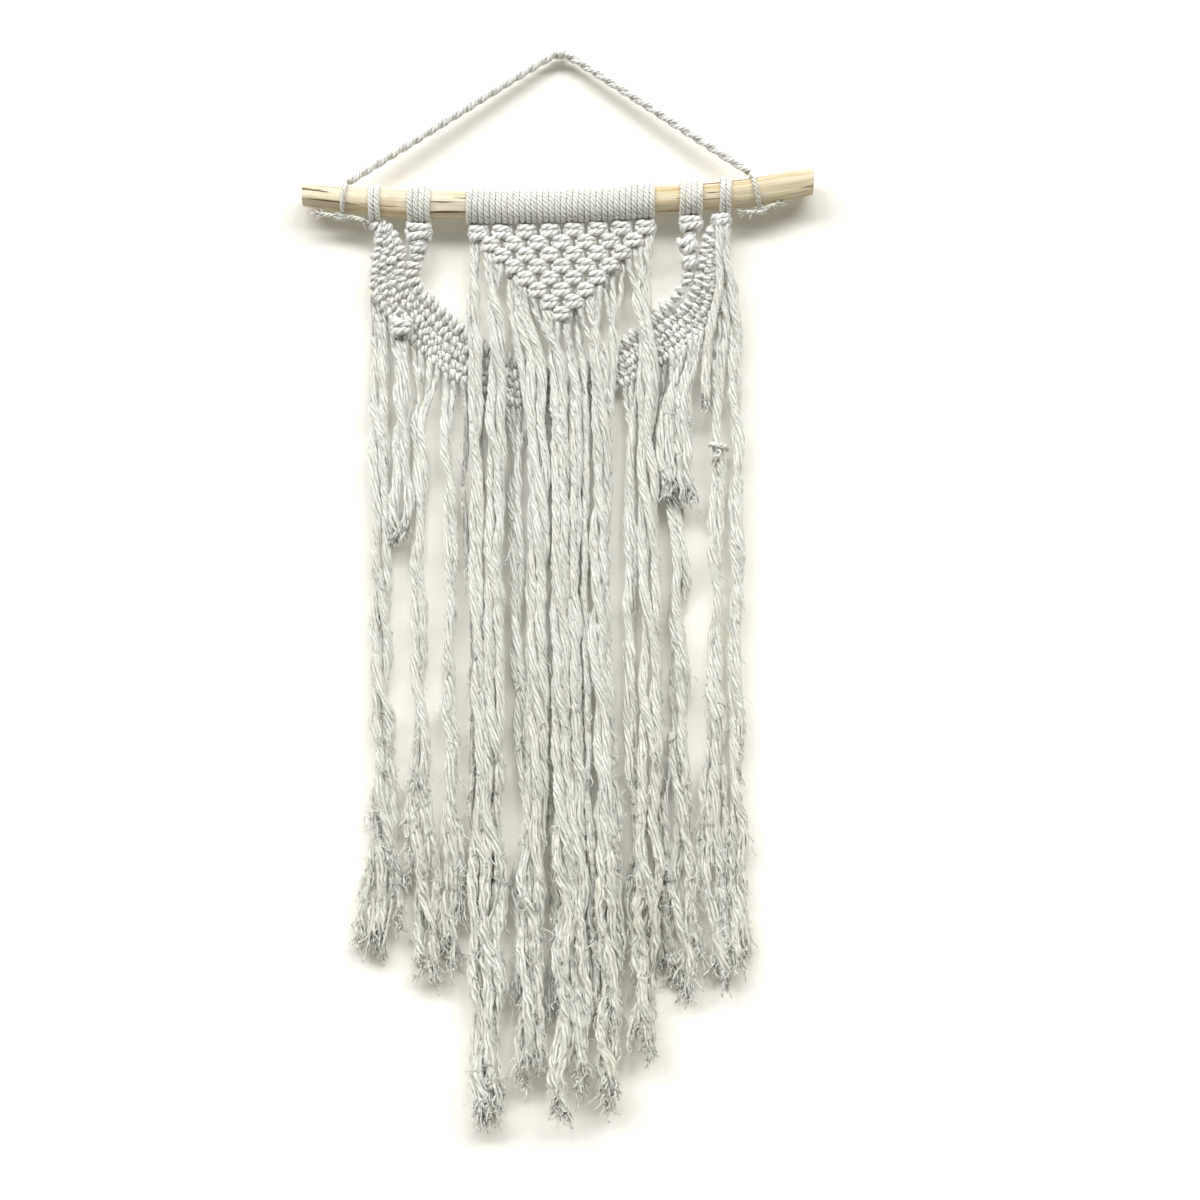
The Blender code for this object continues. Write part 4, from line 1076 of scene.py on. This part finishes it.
# Single square knots of a band: place, size and tilt.
LEFT_KNOTS = (
    ((-104.3, -13, -182.5), (0.95, 1.1, 1.1), 0),
    ((-93.4, -13.2, -119.4), (1.3, 1.2, 1.25), 0.02),
    ((-93.2, -12.6, -129), (0.75, 0.8, 0.7), 0),
)
RIGHT_KNOTS = (
    ((86.2, -13.2, -113.4), (1.12, 1.1, 0.9), 0.12),
    ((84.4, -13.4, -128.4), (0.8, 1.25, 1.1), 0.55),
    ((85.6, -12.8, -139), (0.62, 1, 0.7), 0.3),
    ((106.4, -13.2, -111.4), (0.9, 1, 0.7), 0.3),
)
# What a side band is made of. Mirror is -1 where its hitches lean the other way, and ladder_half is
# half the width of the inner arm's hitches.
Band = namedtuple("Band", "side outer_arm inner_arm band mirror ladder_half knots ropes loose_ends seed")
BANDS = (
    Band("left", LEFT_OUTER_ARM, LEFT_INNER_ARM, LEFT_BAND, 1, 3.4, LEFT_KNOTS,
         LEFT_ROPES, LEFT_LOOSE_ENDS, 61),
    Band("right", RIGHT_OUTER_ARM, RIGHT_INNER_ARM, RIGHT_BAND, -1, 2.1, RIGHT_KNOTS,
         RIGHT_ROPES, RIGHT_LOOSE_ENDS, 71),
)


def strip_point(edges, station, across):
    """A point in the middle of a strip's thickness. Across runs from the low edge to the high one."""
    index = min(int(station), len(edges) - 2)
    ends = [
        np.array((e.low_x + (e.high_x - e.low_x) * across, e.y, e.low_z + (e.high_z - e.low_z) * across))
        for e in edges[index:index + 2]
    ]
    return ends[0] + (ends[1] - ends[0]) * (station - index)


def row_line(arm, band, row):
    """The line of a row of hitches, down its arm and along the band."""
    points = [strip_point(arm, s, row.arm_across) for s in np.arange(0.5, len(arm) - 1, 0.5)]
    points += [strip_point(band, s, row.band_across) for s in np.arange(0.8, len(band) - 0.9, 0.6)]
    return smooth_path(points, 1)


def add_hitch(yarn, middle, direction, half, bulge, radius):
    """One hitch: a short fat ring of cord round a bar."""
    middle = middle + yarn.random.normal(0, HITCH_SCATTER, 3)
    angle = np.linspace(-0.75 * math.pi, 1.2 * math.pi, HITCH_POINTS)
    depth = np.where(np.sin(angle) > 0, bulge, HITCH_BACK) * np.sin(angle)
    path = middle + half * np.cos(angle)[:, None] * direction
    path[:, 1] -= depth
    yarn.cord(path, radius, soft=True)


def add_hitch_row(yarn, line, row, offset, mirror, ladder_half):
    """Hitches along a line, across it, over a bar of cord."""
    yarn.cord(line[::6] - (0, BAR_FORWARD, 0), BAR_RADIUS)
    along = travelled(line)
    count = round(along[-1] / row.pitch)
    for index in range(count):
        place = (index + offset + yarn.random.uniform(-0.08, 0.08)) * along[-1] / count
        if place + 2 > along[-1]:
            continue
        middle, ahead = (
            np.array([np.interp(at, along, line[:, axis]) for axis in range(3)]) for at in (place, place + 2))
        tangent = unit((ahead - middle) * (1, 0, 1))
        lean, half = row.lean, row.half
        if row.arm == "inner" and middle[2] > LADDER_END_Z:
            lean, half = 0, ladder_half
        turn = math.radians(mirror * (lean + yarn.random.normal(0, HITCH_SWING)))
        across = np.array((tangent[2], 0, -tangent[0]))
        direction = across * math.cos(turn) + tangent * math.sin(turn)
        half = half * (1 + yarn.random.normal(0, 0.1))
        radius = row.radius * (1 + yarn.random.normal(0, 0.07))
        add_hitch(yarn, middle, direction, half, HITCH_BULGE + row.lift, radius)


def build_bands():
    for band in BANDS:
        hitches = Yarn(band.seed)
        for number, row in enumerate(HITCH_ROWS):
            line = row_line(band.inner_arm if row.arm == "inner" else band.outer_arm, band.band, row)
            add_hitch_row(hitches, line, row, 0.25 + 0.5 * (number % 2), band.mirror, band.ladder_half)
        for place, size, tilt in band.knots:
            add_square_knot(hitches, place, size, tilt)
        node = f"side_band_{band.side}"
        hitches.finish(f"band_hitches_{band.side}", KNOTTED_COTTON, node)
        build_fringe(f"band_fringe_{band.side}", band.seed + 1, band.ropes, band.loose_ends, node)


# ---- hanger and pin ----
ROPE_STEP = 1.8
EYE_HALF_LENGTH = 4.5  # along the rope
TIE_STEP = 2
TIE_DEGREES = range(250, -111, -12)
TIE_KNOT_RADIUS = 1.35
TIE_KNOT_STEP = 1.4
TIE_KNOT_DROP = 3.2  # below the branch
TIE_KNOT = (
    (-3.4, 0.6, 0.4), (-2.2, -1.8, 1.6), (0.6, -2.6, 1), (2.6, -1.4, -0.8), (2, 0.9, -1.6),
    (-0.6, 1.6, -0.8), (-2.4, 0.6, 0.9), (-2.6, -1.4, -0.9), (-0.4, -2.4, -1.6), (2.4, -1.2, 0.6),
    (3.6, 0.4, 0.5),
)
TAIL_STEP = 1.8
TAIL_THREADS = 12
PIN_STEPS = 20
PIN_SEGMENTS = 40
PIN_TIP_ANGLE = 0.03  # leaves a small flat on the head


def rope_line():
    """The rope's centreline, from its left foot over the pin to its right foot."""
    count = round((ROPE_LEFT.length + ROPE_RIGHT.length) / ROPE_STEP)
    points = []
    for index in range(count + 1):
        x = ROPE_LEFT.x + (ROPE_RIGHT.x - ROPE_LEFT.x) * index / count
        end = ROPE_LEFT if x < 0 else ROPE_RIGHT
        away = (math.hypot(x, ROPE_BEND) - ROPE_BEND) / (math.hypot(end.x, ROPE_BEND) - ROPE_BEND)
        points.append((x, ROPE_PIN_Y + (end.y - ROPE_PIN_Y) * away, end.z * away))
    return np.array(points)


def build_rope():
    """Two three-ply cords twisted together. The pin parts them at the top."""
    yarn = Yarn(41)
    line = rope_line()
    side, up = frames(line[None], (0, -1, 0))
    along = travelled(line)
    past_pin = along - np.interp(0, line[:, 0], along)
    turn = TWIST * TAU * past_pin / ROPE_TURN + 0.5 * math.pi
    eye = np.exp(-(past_pin / EYE_HALF_LENGTH) ** 2)
    apart = ROPE_CORD_OFFSET + (ROPE_EYE_OFFSET - ROPE_CORD_OFFSET) * eye
    for cord in range(2):
        angle = (turn + math.pi * cord)[:, None]
        path = line + apart[:, None] * (np.cos(angle) * side[0] + np.sin(angle) * up[0])
        yarn.cord(path, ROPE_CORD_RADIUS, THIN_PITCH, soft=True)
    rope = yarn.finish("hanger_cord", KNOTTED_COTTON, "hanger_rope")


def build_ties():
    """Each foot of the rope goes round the branch and is knotted under it, with two frayed tails."""
    for number, tie in enumerate(TIES):
        yarn = Yarn(50 + number)
        middle_x = 0.5 * (tie.top_x + tie.bottom_x)
        lean = 0.5 * (tie.top_x - tie.bottom_x)
        ring = []
        for degrees in TIE_DEGREES:
            x = middle_x + lean * math.sin(math.radians(degrees))
            ring.append(wrap_point(x, degrees, TIE_RADIUS + TIE_GAP))
        z, radius = branch_section(middle_x, -0.5 * math.pi)
        knot = np.array((tie.knot_x, BRANCH_Y - 1.5, z - radius - TIE_KNOT_DROP))
        path = [knot + (1.5, 0.5, 0.6), *ring[1:-1], knot + (-1.5, 0.5, 0.4)]
        yarn.cord(smooth_path(path, TIE_STEP), TIE_RADIUS, TIE_PITCH)
        loops = smooth_path([knot + point for point in TIE_KNOT], TIE_KNOT_STEP)
        yarn.cord(loops, TIE_KNOT_RADIUS, THIN_PITCH)
        for mid_x, mid_z, end_x, end_z in tie.tails:
            middle = (mid_x, knot[1] - 0.8, knot[2] + mid_z)
            end = (end_x, knot[1] - 1.4, knot[2] + end_z)
            path = smooth_path([knot + (0, 0, -0.2), middle, end], TAIL_STEP)
            yarn.cord(path, TIE_RADIUS, TIE_PITCH)
            heading = unit(path[-1] - path[-4])
            for _ in range(TAIL_THREADS):
                spray = unit(heading + yarn.random.normal(0, 0.45, 3))
                at = path[-1 - int(yarn.random.uniform(0, 3))]
                add_thread(yarn, at, at + spray * yarn.random.uniform(3, 7), 0.5, 0.3, 0.55)
        yarn.finish(tie.name, COTTON, tie.node)


def build_pin():
    """A shank and a ball, turned about the y axis."""
    profile = [(0, PIN_SHANK_RADIUS)]
    neck = math.asin(PIN_SHANK_RADIUS / PIN_HEAD_RADIUS)
    for index in range(PIN_STEPS + 1):
        angle = neck + (math.pi - PIN_TIP_ANGLE - neck) * index / PIN_STEPS
        profile.append((PIN_HEAD_Y + PIN_HEAD_RADIUS * math.cos(angle), PIN_HEAD_RADIUS * math.sin(angle)))
    points = []
    for y, radius in profile:
        for index in range(PIN_SEGMENTS):
            angle = TAU * index / PIN_SEGMENTS
            points.append((radius * math.cos(angle) * MM, y * MM, radius * math.sin(angle) * MM))
    mesh = bpy.data.meshes.new("ball_pin")
    mesh.from_pydata(points, [], ring_faces(len(profile), PIN_SEGMENTS, inside_out=True))
    add_piece("ball_pin", mesh, PIN_GLOSS, "pin", 60)


# ---- stage, in metres ----
WALL_COLOUR = (0.90, 0.88, 0.83)
FLOOR_COLOUR = (0.42, 0.41, 0.39)
WALL_HALF_WIDTH = 3
WALL_TOP = 2.2
FLOOR_Z = -1.8
FLOOR_FRONT = -2.6
FLOOR_BACK = 2
WORLD_COLOUR = (1, 0.94, 0.70, 1)
WORLD_STRENGTH = 0.11
LIGHTS = (  # name, strength, angle, direction: a wide low strip of light in front, and a soft one behind
    ("key_far_left", 1, 16, (1.1, 1, -0.95)),
    ("key_left", 1, 16, (0.6, 1, -0.95)),
    ("key_middle", 1, 16, (0.12, 1, -0.95)),
    ("key_right", 1, 16, (-0.35, 1, -0.95)),
    ("key_far_right", 1, 16, (-0.85, 1, -0.95)),
    ("back", 1.4, 60, (-0.3, -1, -0.7)),
)
CAMERA_PLACE = (0.0264, -1.774, -0.3623)
CAMERA_LENS = 80
CAMERA_SENSOR = 36


def stage_material(name, colour):
    nodes = Nodes(name)
    nodes.finish(Base_Color=(*colour, 1), Roughness=0.9)
    return nodes


def one_sided(nodes):
    """Makes a material clear from behind, and lets light through."""
    behind = nodes.add("ShaderNodeNewGeometry").outputs["Backfacing"]
    shadow = nodes.add("ShaderNodeLightPath").outputs["Is Shadow Ray"]
    mixed = nodes.add("ShaderNodeMixShader")
    clear = nodes.add("ShaderNodeBsdfTransparent")
    unseen = nodes.math("MAXIMUM", behind, shadow)
    for index, value in enumerate((unseen, nodes.shader.outputs[0], clear.outputs[0])):
        nodes.set(mixed, index, value)
    nodes.set(nodes.tree.nodes["Material Output"], "Surface", mixed.outputs[0])


def add_stage_plane(name, corners, look):
    mesh = bpy.data.meshes.new(name)
    mesh.from_pydata(corners, [], [(0, 1, 2, 3)])
    mesh.materials.append(look)
    add_object(name, mesh)


def build_stage():
    wall = stage_material("wall_paint", WALL_COLOUR)
    one_sided(wall)
    half = WALL_HALF_WIDTH
    sides = [(-half, 0, FLOOR_Z), (half, 0, FLOOR_Z), (half, 0, WALL_TOP), (-half, 0, WALL_TOP)]
    add_stage_plane("wall", sides, wall.material)
    sides = [(-half, FLOOR_FRONT, FLOOR_Z), (half, FLOOR_FRONT, FLOOR_Z), (half, FLOOR_BACK, FLOOR_Z),
             (-half, FLOOR_BACK, FLOOR_Z)]
    add_stage_plane("floor", sides, stage_material("floor_paint", FLOOR_COLOUR).material)


def build_light():
    world = bpy.data.worlds.new("studio")
    world.use_nodes = True
    background = world.node_tree.nodes["Background"]
    background.inputs["Color"].default_value = WORLD_COLOUR
    background.inputs["Strength"].default_value = WORLD_STRENGTH
    bpy.context.scene.world = world
    for name, strength, angle, direction in LIGHTS:
        light = bpy.data.lights.new(name, "SUN")
        light.energy = strength
        light.angle = math.radians(angle)
        add_object(name, light).rotation_euler = Vector(direction).to_track_quat("-Z", "Y").to_euler()


def build_camera():
    camera = bpy.data.cameras.new("camera")
    camera.lens = CAMERA_LENS
    camera.sensor_width = CAMERA_SENSOR
    made = add_object("camera", camera)
    made.location = CAMERA_PLACE
    made.rotation_euler = (0.5 * math.pi, 0, 0)
    bpy.context.scene.camera = made
    bpy.context.scene.view_settings.view_transform = "Standard"


build_branch()
build_wraps()
build_net()
build_bands()
build_rope()
build_ties()
build_pin()
build_stage()
build_light()
build_camera()
